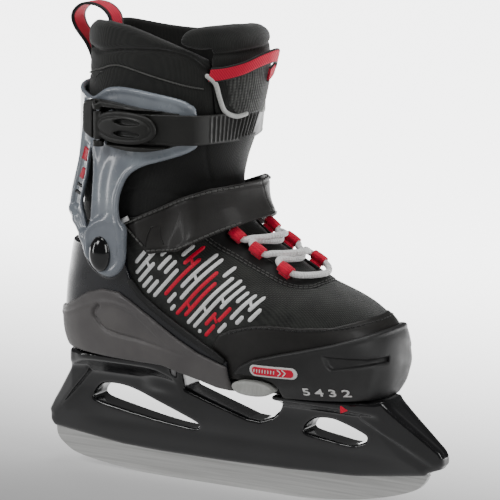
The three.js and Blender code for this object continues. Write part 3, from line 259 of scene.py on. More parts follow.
def along(table, v, column):
    """Smooth curve through a table's rows: value of a column at v."""
    keys, values = table[:, 0], table[:, column]
    v = np.clip(np.asarray(v, float), keys[0], keys[-1])
    last = len(keys) - 1
    before, after = np.maximum(np.arange(last + 1) - 1, 0), np.minimum(np.arange(last + 1) + 1, last)
    slope = (values[after] - values[before]) / (keys[after] - keys[before])
    i = np.clip(np.searchsorted(keys, v, side="right") - 1, 0, last - 1)
    h = keys[i + 1] - keys[i]
    t = (v - keys[i]) / h
    return ((2 * t**3 - 3 * t**2 + 1) * values[i] + (t**3 - 2 * t**2 + t) * h * slope[i]
            + (3 * t**2 - 2 * t**3) * values[i + 1] + (t**3 - t**2) * h * slope[i + 1])


def smooth_step(v, low, high):
    t = np.clip((v - low) / (high - low), 0, 1)
    return t * t * (3 - 2 * t)


def side_point(x, z, side, grow=0.0):
    """Point of the grown form's side at a station and height."""
    heel, toe = along(SECTIONS, z, 1), along(SECTIONS, z, 2)
    middle, half = (heel + toe) / 2, (toe - heel) / 2
    u = np.clip((x - middle) / (half + grow), -0.9999, 0.9999)
    n = np.where(u < 0, along(SECTIONS, z, 4), along(SECTIONS, z, 5))
    x0 = middle + half * u
    reach = (along(WIDTHS, x0, 1) * along(SECTIONS, z, 3) + grow) * (1 - np.abs(u) ** n) ** (1 / n)
    return np.array([x, along(WIDTHS, x0, 2) + side * reach, z], float)


def front_point(y, z, grow=0.0, rear=False):
    """Point of the grown form's front (or rear) at a distance from the middle and a height."""
    heel, toe = along(SECTIONS, z, 1), along(SECTIONS, z, 2)
    middle, half = (heel + toe) / 2, (toe - heel) / 2
    n = along(SECTIONS, z, 4 if rear else 5)
    sign = -1 if rear else 1
    x0 = heel if rear else toe
    for _ in range(12):
        width = along(WIDTHS, x0, 1) * along(SECTIONS, z, 3) + grow
        v = min(0.995, abs(y - along(WIDTHS, x0, 2)) / width)
        u = sign * (1 - v**n) ** (1 / n)
        x0 = middle + half * u
    return np.array([middle + (half + grow) * u, y, z], float)


def side_frame(x, z, side, grow=0.0):
    """Point, outward normal and forward direction of the form's side."""
    p = side_point(x, z, side, grow)
    dx = side_point(x + 0.5, z, side, grow) - side_point(x - 0.5, z, side, grow)
    dz = side_point(x, z + 0.5, side, grow) - side_point(x, z - 0.5, side, grow)
    normal = np.cross(dx, dz) * (-side)
    normal = normal / np.linalg.norm(normal)
    return p, (-normal if normal[1] * side < 0 else normal), dx / np.linalg.norm(dx)


def front_frame(y, z, grow=0.0):
    """Foot, up-slope, outward and across directions of the form's front."""
    foot = front_point(y, z, grow)
    up = front_point(y, z + 5, grow) - front_point(y, z - 5, grow)
    across = front_point(y + 1.5, z, grow) - front_point(y - 1.5, z, grow)
    up = up / np.linalg.norm(up)
    out = np.cross(up, across)
    out = out / np.linalg.norm(out)
    out = -out if out[0] < 0 else out
    return foot, up, out, np.cross(out, up)


# ---------------------------------------------------------------- signed fields
def both(a, b, k=0.0):
    """Where two fields are both inside, with the meeting edge rounded by k."""
    if not k:
        return np.maximum(a, b)
    h = np.clip(0.5 + 0.5 * (a - b) / k, 0, 1)
    return b + (a - b) * h + k * h * (1 - h)


def either(a, b, k=0.0):
    return -both(-a, -b, k)


def smooth_path(points, closed, steps=6):
    """Catmull-Rom points through a few points."""
    p = np.array(points, float)
    if closed:
        q = np.vstack([p[-1], p, p[0], p[1]])
    else:
        q = np.vstack([2 * p[0] - p[1], p, 2 * p[-1] - p[-2]])
    t = (np.arange(steps) / steps)[:, None]
    out = []
    for a, b, c, d in zip(q[:-3], q[1:-2], q[2:-1], q[3:]):
        out.append(0.5 * (2 * b + (c - a) * t + (2 * a - 5 * b + 4 * c - d) * t**2
                          + (3 * b - a - 3 * c + d) * t**3))
    out = np.vstack(out)
    return out if closed else np.vstack([out, p[-1]])


def distance_2d(px, pz, points, closed):
    """Distance from a grid of points to an outline, negative inside it, or to an open line."""
    p = np.array(points, float)
    q = np.roll(p, -1, axis=0)
    pairs = list(zip(p, q)) if closed else list(zip(p[:-1], p[1:]))
    best = np.full(np.broadcast(px, pz).shape, 1e9)
    inside = np.zeros(best.shape, bool)
    for a, b in pairs:
        d = b - a
        t = np.clip(((px - a[0]) * d[0] + (pz - a[1]) * d[1]) / max(d @ d, 1e-9), 0, 1)
        best = np.minimum(best, (px - a[0] - t * d[0]) ** 2 + (pz - a[1] - t * d[1]) ** 2)
        if closed and a[1] != b[1]:
            crosses = (a[1] > pz) != (b[1] > pz)
            inside ^= crosses & (px < (b[0] - a[0]) * (pz - a[1]) / (b[1] - a[1]) + a[0])
    best = np.sqrt(best)
    return np.where(inside, -best, best) if closed else best


class Block:
    """A box of sample points, and the fields that shapes are made of."""

    def __init__(self, low, high, step):
        self.step = step * COARSE
        self.low = np.array(low, float)
        sizes = [np.arange(a, b + self.step, self.step) for a, b in zip(low, high)]
        self.x = sizes[0][:, None, None]
        self.y = sizes[1][None, :, None]
        self.z = sizes[2][None, None, :]
        self.kept = {}

    def boot(self, grow=0.0):
        """Distance to the foot form grown outwards by a number or a field over x and z."""
        key = grow if isinstance(grow, (int, float)) else None
        if key is not None and key in self.kept:
            return self.kept[key]
        x, y, z = self.x, self.y, self.z
        heel, toe = along(SECTIONS, z, 1), along(SECTIONS, z, 2)
        middle, half = (heel + toe) / 2, (toe - heel) / 2
        u = (x - middle) / (half + grow)
        x0 = middle + half * u
        n = np.where(u < 0, along(SECTIONS, z, 4), along(SECTIONS, z, 5))
        width = along(WIDTHS, x0, 1) * along(SECTIONS, z, 3) + grow
        v = np.abs(y - along(WIDTHS, x0, 2)) / width
        field = (np.abs(u) ** n + v**n) ** (1 / n) - 1
        steep = np.sqrt(sum(g**2 for g in np.gradient(field.astype(np.float32), self.step)))
        field = (field / np.maximum(steep, 2e-3)).astype(np.float32)
        if key is not None:
            self.kept[key] = field
        return field

    def side(self, points, smooth=False):
        points = smooth_path(points, True) if smooth else points
        return distance_2d(self.x, self.z, points, True).astype(np.float32)

    def plan(self, points, smooth=False):
        points = smooth_path(points, True) if smooth else points
        return distance_2d(self.x, self.y, points, True).astype(np.float32)

    def front(self, points, smooth=False):
        points = smooth_path(points, True) if smooth else points
        return distance_2d(self.y, self.z, points, True).astype(np.float32)

    def line(self, points, smooth=True, of="xz"):
        points = smooth_path(points, False) if smooth else points
        axes = {"x": self.x, "y": self.y, "z": self.z}
        return distance_2d(axes[of[0]], axes[of[1]], points, False).astype(np.float32)

    def rod(self, x, z, radius, y0, y1, round_edge=0.8):
        round_part = np.sqrt((self.x - x) ** 2 + (self.z - z) ** 2) - radius
        ends = np.abs(self.y - (y0 + y1) / 2) - abs(y1 - y0) / 2
        return both(round_part, ends, round_edge)

    def mesh(self, name, field):
        """The field's zero surface as a smooth-shaded object in metres."""
        field = np.broadcast_to(field, (self.x.size, self.y.size, self.z.size))
        field = np.clip(field, -3 * self.step, 3 * self.step).astype(np.float32)
        for axis in range(3):
            edge = [slice(None)] * 3
            for end in (0, -1):
                edge[axis] = end
                field[tuple(edge)] = 3 * self.step
        grid = openvdb.FloatGrid(3 * self.step)
        grid.copyFromArray(field, tolerance=1e-6)
        points, quads = grid.convertToQuads(isovalue=0.0)
        points = (points * self.step + self.low) * MM
        return mesh_object(name, points, quads[:, ::-1] if volume_sign(points, quads) < 0 else quads)


def volume_sign(points, quads):
    a, b, c, d = (points[quads[:, k]].astype(float) for k in range(4))
    return float(np.einsum("ij,ij->", a, np.cross(b, c)) + np.einsum("ij,ij->", a, np.cross(c, d)))


def mesh_object(name, points, faces, smooth=True):
    mesh = bpy.data.meshes.new(name)
    if isinstance(faces, np.ndarray):
        mesh.vertices.add(len(points))
        mesh.vertices.foreach_set("co", np.asarray(points, np.float32).ravel())
        count = faces.shape[1]
        mesh.loops.add(faces.size)
        mesh.loops.foreach_set("vertex_index", faces.astype(np.int32).ravel())
        mesh.polygons.add(len(faces))
        mesh.polygons.foreach_set("loop_start", np.arange(0, faces.size, count, dtype=np.int32))
        mesh.update(calc_edges=True)
    else:
        mesh.from_pydata([tuple(p) for p in points], [], faces)
    mesh.validate()
    if smooth:
        mesh.polygons.foreach_set("use_smooth", np.ones(len(mesh.polygons), bool))
    made = bpy.data.objects.new(name, mesh)
    bpy.context.scene.collection.objects.link(made)
    return made


def relax(piece, rounds=3, factor=0.5):
    """Evens out the sampling's last ripples."""
    modifier = piece.modifiers.new("relax", "SMOOTH")
    modifier.factor, modifier.iterations = factor, rounds
    return piece


class Soup:
    """Gathers small closed shapes, such as stitches, into one mesh."""

    def __init__(self):
        self.points, self.faces = [], []

    def add(self, points, faces):
        start = len(self.points)
        self.points.extend(points)
        self.faces.extend([[i + start for i in f] for f in faces])

    def tube(self, path, radius, sides=8, flat=1.0, normals=None, taper=True):
        """A round or flattened tube with rounded ends along a path."""
        p = np.array(path, float)
        tangent = np.gradient(p, axis=0)
        tangent /= np.linalg.norm(tangent, axis=1)[:, None]
        if normals is None:
            up = np.array([0.3, -0.9, 0.31])
            normals = []
            for t in tangent:
                up = up - t * (up @ t)
                up = up / np.linalg.norm(up)
                normals.append(up)
        rings = []
        order = [(0, 0.35, -0.9), (0, 0.8, -0.5)] if taper else []
        order += [(i, 1.0, 0.0) for i in range(len(p))]
        order += [(len(p) - 1, 0.8, 0.5), (len(p) - 1, 0.35, 0.9)] if taper else []
        for i, scale, push in order:
            n = normals[i] - tangent[i] * (normals[i] @ tangent[i])
            n = n / np.linalg.norm(n)
            b = np.cross(tangent[i], n)
            centre = p[i] + tangent[i] * push * radius
            rings.append([centre + scale * radius * (math.cos(a) * b + flat * math.sin(a) * n)
                          for a in (2 * math.pi * k / sides for k in range(sides))])
        faces = []
        for r in range(len(rings) - 1):
            for k in range(sides):
                a, b = r * sides + k, r * sides + (k + 1) % sides
                faces.append([a, b, b + sides, a + sides])
        faces.append(list(range(sides))[::-1])
        faces.append([(len(rings) - 1) * sides + k for k in range(sides)])
        self.add([q for ring in rings for q in ring], faces)

    def stitches(self, path, length=2.4, gap=1.5, radius=0.32, normals=None):
        """Dashes of thread along a path of points."""
        p = np.array(path, float)
        reach = np.concatenate([[0], np.cumsum(np.linalg.norm(np.diff(p, axis=0), axis=1))])
        s = 0.0
        while s + length <= reach[-1]:
            dash = [[np.interp(v, reach, p[:, c]) for c in range(3)] for v in np.linspace(s, s + length, 4)]
            self.tube(dash, radius, sides=6)
            s += length + gap

    def strip(self, centres, widths, normals, lift, side_drop=0.35):
        """A thin pillow-shaped strip lying on a surface: centre points, half widths, outward normals."""
        c = np.array(centres, float)
        tangent = np.gradient(c, axis=0)
        rows = []
        for p, t, w, n in zip(c, tangent, widths, normals):
            b = np.cross(t / np.linalg.norm(t), n)
            rows.append([p + b * w * s + n * (h * lift - (1 - h) * side_drop)
                         for s, h in ((-1, 0), (-0.82, 0.8), (0, 1), (0.82, 0.8), (1, 0))]
                        + [p + b * w * 0.6 - n * side_drop * 2, p - b * w * 0.6 - n * side_drop * 2])
        size = 7
        faces = []
        for r in range(len(rows) - 1):
            for k in range(size):
                a, b = r * size + k, r * size + (k + 1) % size
                faces.append([a, b, b + size, a + size])
        faces.append(list(range(size))[::-1])
        faces.append([(len(rows) - 1) * size + k for k in range(size)])
        self.add([q for row in rows for q in row], faces)

    def object(self, name):
        return mesh_object(name, np.array(self.points) * MM, self.faces)


def finish_piece(piece, look, body=None, replaces=()):
    """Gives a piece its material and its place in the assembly."""
    piece.data.materials.clear()
    piece.data.materials.append(MATERIALS[look])
    if body:
        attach(piece, body)
    if replaces:
        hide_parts(*replaces)
    return piece


# ---------------------------------------------------------------- runner blade
def outline_plate(name, points, y0, y1, bevel):
    """A flat plate cut to a side outline, its edges broken by a small bevel."""
    n = len(points)
    corners = [(x * MM, y0 * MM, z * MM) for x, z in points] + [(x * MM, y1 * MM, z * MM) for x, z in points]
    faces = [list(range(n)), list(range(n, 2 * n))[::-1]]
    faces += [[(i + 1) % n, i, i + n, (i + 1) % n + n] for i in range(n)]
    made = mesh_object(name, corners, faces, smooth=False)
    edge = made.modifiers.new("broken_edges", "BEVEL")
    edge.width, edge.segments, edge.limit_method, edge.angle_limit = bevel * MM, 2, "ANGLE", 0.9
    return made


BLADE_BOTTOM = [
    (-139.5, 23), (-138.5, 17), (-134, 12), (-122, 6), (-92, 1.6), (-58, 0), (34, 0), (58, 1.4), (81, 4),
    (98, 7.5), (112, 11.5), (123, 16), (128.5, 21), (131, 25.5)]
HOLDER_BOTTOM = [
    (130, 26), (104, 22), (81, 19), (54, 18), (34, 17), (-11, 16), (-58, 16), (-87, 17), (-139, 23)]
low_edge = [tuple(p) for p in smooth_path(BLADE_BOTTOM, False, 5)]
low_edge = [(x, max(0.0, z)) for x, z in low_edge]
blade = outline_plate("blade_steel", low_edge + [(x * 0.985, z + 7) for x, z in HOLDER_BOTTOM], -1.75, 1.75,
                      0.35)
finish_piece(blade, "blade", "frame", ["runner_blade"])

# ---------------------------------------------------------------- blade holder
WEB = [
    (-139, 23), (-142, 27), (-142, 34), (-137, 42), (-118, 68), (-117, 79.5), (-36, 79.5), (-39, 70),
    (-37, 61), (-14, 54), (8, 47.5), (17, 47), (26, 50.5), (36, 60), (38, 69.5), (104, 69.5), (139, 42.5),
    (142, 38.5), (142, 34), (140, 31), (132, 28)]
REAR_WINDOW = [
    (-106, 48), (-103, 53), (-96, 57), (-79, 56.5), (-56, 49), (-34, 41), (-29, 38), (-31, 35.5),
    (-45, 36), (-62, 38), (-84, 41.5), (-102, 45)]
FRONT_WINDOW = [
    (48, 45), (50, 49), (57, 53.5), (68, 54.5), (78, 52), (89, 48), (92, 45.5), (89, 42), (80, 39.5),
    (66, 41), (52, 43)]


def blade_holder():
    b = Block((-145, -31, 13), (145, 31, 82), 0.75)
    half = np.minimum(
        np.interp(b.z, [13, 17, 22, 36, 50, 90], [4.2, 4.6, 5.2, 8.2, 9.5, 9.5]),
        np.interp(b.x, [-145, -128, -100, 100, 125, 145], [5, 8, 9.5, 9.5, 7, 4.4]))
    # The sides are dished between the lower beam and the window rims.
    half = half - 1.3 * np.exp(-((b.z - 34) / 5) ** 2) * smooth_step(b.x, -120, -95) * (
        1 - smooth_step(b.x, 90, 120))
    body = both(b.side(WEB + HOLDER_BOTTOM), np.abs(b.y) - half, 3.0)
    heel_pad = both(
        b.front([(-27, 79.5), (-27, 76.5), (-20, 71), (-11, 64), (-7, 58), (7, 58), (11, 64), (20, 71),
                 (27, 76.5), (27, 79.5)]),
        b.plan([(-118, -15), (-110, -23), (-96, -27), (-56, -27), (-45, -22), (-41, -12), (-41, 12),
                (-45, 22), (-56, 27), (-96, 27), (-110, 23), (-118, 15)], True), 2.0)
    toe_pad = both(
        b.front([(-29, 69.5), (-29, 67), (-20, 64), (-11, 59.5), (-7, 55), (7, 55), (11, 59.5), (20, 64),
                 (29, 67), (29, 69.5)]),
        b.plan([(36, -24), (42, -29), (60, -27), (84, -20), (104, -12.5), (104, 12.5), (84, 20), (60, 27),
                (42, 29), (36, 24)], True), 2.0)
    nose = both(
        b.side([(90, 69.5), (104, 69.5), (140, 41.5), (142, 38), (142, 34.5), (136, 33), (90, 58)]),
        b.plan([(90, -13), (104, -13), (142, -4.5), (142, 4.5), (104, 13), (90, 13)]), 2.0)
    # A long hollow runs down the nose between two rounded ridges.
    ridge_gap = np.interp(b.x, [96, 106, 140], [0, 7.5, 1.2])
    top = np.interp(b.x, [90, 104, 140], [69.5, 69.5, 41.5])
    hollow = both(np.abs(b.y) - ridge_gap, top - 4.5 - b.z, 1.5)
    nose = both(nose, -hollow, 1.6)
    tail = both(
        b.side([(-104, 79.5), (-117, 79.5), (-118, 68), (-137, 42), (-142, 34), (-138, 31), (-104, 66)]),
        b.plan([(-104, -18), (-118, -15), (-142, -5), (-142, 5), (-118, 15), (-104, 18)]), 2.0)
    for part, blend in ((heel_pad, 6.0), (toe_pad, 6.0), (nose, 2.0), (tail, 2.0)):
        body = either(body, part, blend)
    for window in (REAR_WINDOW, FRONT_WINDOW):
        body = both(body, -b.side(window, True), 2.6)
    # The front of the heel stem bulges round the bolt tube.
    stem = np.sqrt((b.x + 56) ** 2 + b.y**2) - 13
    body = either(body, both(stem, np.abs(b.z - 68) - 9, 5.0), 5.0)
    body = both(body, np.maximum(b.z - 79.5, -(b.x + 200)), 0)
    body = both(body, -both(np.abs(b.y) - 1.8, b.z - 22, 0), 0.6)
    return relax(b.mesh("holder_moulding", body), 3)


finish_piece(blade_holder(), "holder", "frame", ["blade_holder"])

# ---------------------------------------------------------------- rear shell
PIVOT = (-74, 149)
SHELL_REGION = [
    (-135, 80), (-36, 80.6), (-28, 78.5), (-10, 74.2), (2, 70.6), (13.2, 69.8), (13.2, 90), (-7, 100.5),
    (-32, 114),
    (-46, 122.5), (-56, 131), (-60, 142), (-66, 150), (-92, 152), (-135, 150)]
WING = [
    (-135, 80), (-36, 81.2), (-28, 79), (-10, 74.6), (2, 71), (13.2, 70.2), (13.2, 87), (-8, 93.5),
    (-23, 101),
    (-40, 111), (-57, 120), (-66, 124.5), (-79, 125), (-93, 121), (-104, 115), (-118, 108), (-135, 104)]
WING_GROOVE = [(-83, 113.5), (-88, 109), (-85, 104.5), (-78, 99.5), (-67, 97.5), (-49, 96), (-26, 92),
               (-19, 91)]
WING_RIDGE = [(-128, 101), (-114, 104), (-104, 108), (-95, 112), (-82, 116), (-68, 117), (-55, 114),
              (-44, 107),
              (-32, 98), (-20, 91)]
WING_RIM_RIDGE = [(-66, 121.5), (-54, 118), (-42, 111), (-27, 102), (-14, 95), (2, 90)]
RIM_LINE = [(-56.4, 132), (-52, 127), (-46, 122), (-32, 113.5), (-7, 100), (2, 95.5), (10, 90.5)]


def rear_shell():
    b = Block((-128, -49, 68), (17, 49, 165), 0.75)
    floor = np.interp(b.x, [-140, -34, 0, 140], [83.5, 83.5, 76.9, 76.9]) - b.z
    cavity = both(b.boot(0.35), floor, 0)
    region = b.side(SHELL_REGION)
    body = both(b.boot(3.2), region, 1.4)
    for side in (-1, 1):
        boss = b.rod(*PIVOT, 15, side * 30, side * 43, 2.0)
        body = either(body, boss, 4.0)
    plate = both(
        b.plan([(0, -29), (16, -29), (16, 29), (0, 29)]), np.abs(b.z - 75.4) - 1.5, 0.5)
    body = either(both(body, -cavity, 0.8), plate, 0.5)
    upper = relax(b.mesh("rear_shell_body", body), 2)
    groove_depth = np.interp(b.x, [-90, -60, -19], [2.2, 1.7, 0.7])
    line = b.line(WING_GROOVE)
    depth = 5.2 - groove_depth * np.exp(-((line / 1.25) ** 2))
    depth = depth + 0.55 * np.exp(-((b.line(WING_RIDGE) / 1.1) ** 2))
    depth = depth + 0.45 * np.exp(-((b.line(WING_RIM_RIDGE) / 0.9) ** 2))
    # Below the groove the flank is let in a little.
    inside = b.side(WING_GROOVE + [(-18, 93), (-32, 99.5), (-44, 108.5), (-55, 114.5), (-68, 117),
                                   (-78, 116)], True)
    depth = depth - 0.5 * smooth_step(-inside, 0.5, 3.0)
    skin = both(both(b.boot(depth), b.side(WING), 1.8), -b.boot(2.4), 0)
    return upper, relax(b.mesh("rear_shell_wing", skin), 2)


shell_body, shell_wing = rear_shell()
finish_piece(shell_body, "shell_gloss", "frame", ["rear_shell"])
finish_piece(shell_wing, "wing", "frame")


def shell_rim():
    b = Block((-66, -48, 84), (16, 48, 152), 0.7)
    band = both(b.line(RIM_LINE) - 2.2, np.maximum(b.boot(4.1), -b.boot(1.0)), 1.0)
    return relax(b.mesh("rear_shell_rim", band), 2)


finish_piece(shell_rim(), "rim", "frame")

# ---------------------------------------------------------------- soft boot on the foot
FLOOR = [[-140, 83.85], [-34, 83.85], [0, 77.3], [140, 77.3]]
CREST = [(64, 136), (41, 150), (18, 164), (3, 178), (-3, 192)]
STITCH_LINE = [(16, 110), (30, 114.5), (44, 116), (59, 115.5), (78, 116), (89, 119), (94, 120.5), (99, 121)]


def ankle_line(x):
    return 158 + (x + 140) * 36 / 200


def foot_fabric():
    """The whole soft foot part in one piece; on the real boot it stretches where the toe slides out, but here it
    stays as built.
    """
    b = Block((-124, -50, 76), (108, 50, 194), 0.9)
    floor = np.interp(b.x, [r[0] for r in FLOOR], [r[1] for r in FLOOR]) - b.z
    # The cloth is a little fuller between its seams.
    lift = 0.5 * smooth_step(b.line(STITCH_LINE), 0, 9)
    outer = both(b.boot(lift - 0.4), floor, 1.0)
    inner = both(b.boot(-4.0), floor + 2.5, 1.0)
    body = both(both(outer, -inner, 1.0), b.z - ankle_line(b.x) + 0.4, 1.2)
    crest = b.side([(x + 12, z + 14) for x, z in CREST] + [(x - 16, z - 9) for x, z in CREST][::-1])
    body = both(body, -both(crest, np.abs(b.y) - 15, 4.0), 1.0)
    pocket = both(b.side([(13, 60), (49, 60), (49, 81.2), (13, 81.2)]), b.y + 25.5, 0)
    body = both(body, -pocket, 1.0)
    return relax(b.mesh("boot_foot_fabric", body), 2)


foot = foot_fabric()
finish_piece(foot, "mesh", replaces=["boot_upper", "toe_stretch_gusset", "toe_box"])


def bend_toe(piece):
    """Bakes the piece's placement into its mesh; the cloth that crosses from the boot to the sliding toe is not
    stretched.
    """
    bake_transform(piece)
    return piece


bend_toe(foot)


def toe_rand():
    b = Block((-4, -50, 78), (110, 50, 126), 0.8)
    edge = [(-2, 80), (1, 92), (3.5, 100), (8, 106.5), (16, 110.5), (30, 114.5), (44, 116), (59, 115.5),
            (78, 116),
            (89, 119), (99, 121.5), (125, 124), (125, 78), (-2, 78)]
    seam = 0.25 * np.exp(-((b.line(STITCH_LINE) - 2.0) / 0.9) ** 2)
    body = both(both(b.boot(0.95) + seam, -b.boot(-1.2), 0), b.side(edge), 0.8)
    return relax(b.mesh("toe_rand", body), 2)


bend_toe(finish_piece(toe_rand(), "rand"))

rand_thread = Soup()
for side in (-1, 1):
    line = smooth_path([(12, 107.2), (17, 108.6), (30, 112.8), (44, 114.2), (59, 113.8), (76, 114.4)], False,
                       5)
    rand_thread.stitches([side_point(x, z, side, 1.0) for x, z in line], 2.2, 1.4, 0.34)
front_line = [(-30, 114.8), (-22, 115.8), (-12, 117.4), (0, 118.2), (14, 118), (26, 116.6), (36, 115)]
rand_thread.stitches([front_point(y, z, 1.0) for y, z in smooth_path(front_line, False, 5)], 2.2, 1.4, 0.34)
bend_toe(finish_piece(rand_thread.object("toe_rand_stitching"), "thread_dark"))


# ---------------------------------------------------------------- printed bars on the boot's sides
SLANT = math.radians(46)
# Each lane of bars: offset across the slant, then (start along it, length, red or silver).
BAR_LANES = [
    (-70.8, [(92, 12, 0)]),
    (-66.2, [(84, 8, 0), (96, 12, 0)]),
    (-61.6, [(70, 9, 0), (83, 22, 0)]),
    (-57, [(60, 12, 1), (75, 14, 1), (93, 9, 0)]),
    (-52.4, [(54, 8, 0), (66, 12, 1), (82, 20, 0)]),
    (-47.8, [(50, 5, 0), (58, 44, 0)]),
    (-43.2, [(47, 52, 0), (103, 10, 0)]),
    (-38.6, [(58, 32, 1), (94, 20, 0)]),
    (-34.0, [(50, 44, 1)]),
    (-29.4, [(38, 20, 0), (63, 36, 0)]),
    (-24.8, [(36, 14, 0), (54, 10, 0), (69, 30, 0)]),
    (-20.2, [(32, 12, 0), (56, 34, 1)]),
    (-15.6, [(26, 50, 0), (80, 26, 1)]),
    (-11.0, [(22, 8, 0), (34, 26, 0), (66, 12, 0), (82, 12, 0)]),
    (-6.4, [(18, 40, 0), (64, 14, 0), (84, 7, 1)]),
    (-1.8, [(40, 26, 0), (72, 14, 0)]),
    (2.8, [(44, 40, 0)]),
    (7.4, [(54, 26, 0)]),
]
# Short links that tie two neighbouring bars: lane, station along it, red or silver.
BAR_LINKS = [(-66.2, 99, 0), (-57, 73.5, 1), (-52.4, 86, 0), (-47.8, 72, 0), (-38.6, 64, 1), (-29.4, 80, 0),
             (-20.2, 84, 1), (-6.4, 46, 0), (-1.8, 60, 0), (2.8, 66, 0)]
BAR_HALF = 1.42


def bar_allowed(x, z):
    """The bars fill the side between the strap, the throat's strip, the rand and the shell's rim."""
    above_rim = z > np.interp(x, [-60, -52, -46, -32, -7, 2, 6], [150, 130, 124.5, 117, 103.5, 100,
                                                                  106]) + 1.5
    below_strip = z < np.interp(x, [-60, -8, 8, 22, 30], [160, 158, 150, 142.5, 136])
    above_rand = z > np.interp(x, [-10, 2, 6, 12, 22, 40], [90, 100, 106, 111.5, 115, 118])
    return above_rim and below_strip and above_rand and x < 37


def printed_bars():
    made = {0: Soup(), 1: Soup()}
    for side in (-1, 1):
        for across, bars in BAR_LANES:
            for start, length, red in bars:
                run = []
                for s in np.arange(start, start + length + 0.01, 0.75):
                    x = -76 + s * math.cos(SLANT) - across * math.sin(SLANT) - 10
                    z = 60 + s * math.sin(SLANT) + across * math.cos(SLANT) + 40
                    if bar_allowed(x, z):
                        run.append((x, z))
                if len(run) < 5:
                    continue
                total = 0.75 * (len(run) - 1)
                widths = []
                for k in range(len(run)):
                    d = min(0.75 * k, total - 0.75 * k)
                    widths.append(BAR_HALF * math.sqrt(max(0.05, 1 - max(0, 1 - d / BAR_HALF) ** 2)))
                frames = [side_frame(x, z, side, 0.05) for x, z in run]
                made[red].strip([f[0] for f in frames], widths, [f[1] for f in frames], 0.24)
        for across, s, red in BAR_LINKS:
            run = []
            for t in np.linspace(0, 4.6, 5):
                x = -86 + (s + t * 0.4) * math.cos(SLANT) - (across + t) * math.sin(SLANT)
                z = 100 + (s + t * 0.4) * math.sin(SLANT) + (across + t) * math.cos(SLANT)
                run.append((x, z))
            if all(bar_allowed(x, z) for x, z in run):
                frames = [side_frame(x, z, side, 0.05) for x, z in run]
                made[red].strip([f[0] for f in frames], [1.1] * 5, [f[1] for f in frames], 0.23)
    return made[0].object("side_print_silver"), made[1].object("side_print_red")


silver_bars, red_bars = printed_bars()
bend_toe(finish_piece(silver_bars, "print_silver"))
bend_toe(finish_piece(red_bars, "print_red"))

# ---------------------------------------------------------------- throat strip and lower tongue
THROAT = [(-22, 21), (-7, 21.5), (10, 19.6), (25, 18.5), (37, 17.5), (45, 15.5), (51, 10.5), (54, 0)]


def throat_path(offset):
    """The strip's line round the throat, moved outwards by an offset, on both sides and the front."""
    right = smooth_path(THROAT, False, 6)
    d = np.gradient(right, axis=0)
    d /= np.linalg.norm(d, axis=1)[:, None]
    moved = right + np.stack([-d[:, 1], d[:, 0]], axis=1) * offset
    return np.vstack([moved * [1, -1], moved[::-1][1:]])


def surface_height(x, y, grow):
    """Height of the form's top over a point in plan."""
    low, high = 100.0, 210.0
    for _ in range(30):
        z = (low + high) / 2
        heel, toe = along(SECTIONS, z, 1), along(SECTIONS, z, 2)
        middle, half = (heel + toe) / 2, (toe - heel) / 2
        u = (x - middle) / (half + grow)
        n = along(SECTIONS, z, 5)
        inside = u < 1 and abs(u) ** n + (abs(y - along(WIDTHS, middle + half * u, 2)) / (
            along(WIDTHS, middle + half * min(1, u), 1) * along(SECTIONS, z, 3) + grow)) ** n < 1
        low, high = (z, high) if inside else (low, z)
    return low


def throat_strip():
    b = Block((-30, -32, 128), (66, 32, 196), 0.7)
    near = b.line(throat_path(2.6), smooth=False, of="xy")
    ridge = 0.35 * np.exp(-(((near - 3.4) / 0.7) ** 2))
    body = both(both(b.boot(0.9) + ridge, -b.boot(-4.2), 0), near - 4.9, 0.8)
    body = both(body, b.z - ankle_line(b.x) + 1, 1.0)
    return relax(b.mesh("throat_strip", body), 2)


finish_piece(throat_strip(), "panel", "frame")
strip_thread = Soup()
for offset in (5.6, 7.0):
    path = [[x, y, surface_height(x, y, 0.8)] for x, y in throat_path(offset) if x > -12]
    strip_thread.stitches(path, 2.0, 1.2, 0.3)
finish_piece(strip_thread.object("throat_strip_stitching"), "thread_grey_and_painted_highlight", "frame")


def lower_tongue():
    b = Block((-30, -24, 118), (66, 24, 196), 0.8)
    quilt = 0.6 * np.cos(np.clip(b.y / 20, -1, 1) * math.pi / 2)
    crest = b.side([(x + 14, z + 8) for x, z in CREST] + [(x - 22, z - 12) for x, z in CREST][::-1])
    body = both(both(b.boot(-3.4) - quilt + 0.5, -b.boot(-9.0), 2.0), np.maximum(crest, np.abs(b.y) - 21.5),
                1.6)
    body = both(body, b.z - ankle_line(b.x) + 0.5, 1.5)
    return relax(b.mesh("tongue_lower_padding", body), 2)


tongue_low = finish_piece(lower_tongue(), "knit", "frame", ["tongue_lower"])


def footbed():
    b = Block((-120, -46, 78), (98, 46, 96), 0.9)
    base = np.interp(b.x, [r[0] for r in FLOOR], [r[1] + 2.85 for r in FLOOR])
    cup = 1.5 * smooth_step(b.boot(-5.3), -12, 0)
    body = both(both(base - b.z, b.z - base - 3.3 - cup, 1.0), b.boot(-5.3), 1.5)
    body = both(body, b.x - 94, 1.0)
    pocket = both(b.side([(13, 60), (49, 60), (49, 81.6), (13, 81.6)]), b.y + 25, 0)
    return relax(b.mesh("footbed_foam", both(body, -pocket, 0.6)), 2)


footbed_piece = finish_piece(footbed(), "foam", "frame", ["footbed"])

# ---------------------------------------------------------------- lace and its loops
LOOP_STATIONS = [142.7, 153, 161.5]
LOOP_Y = 18
LOOP_RISE = 5.1
LACE_R = 2.0


def loop_frame(k, side):
    foot_at, up, out, across = front_frame(side * LOOP_Y, LOOP_STATIONS[k])
    return foot_at + out * LOOP_RISE, up, out, across


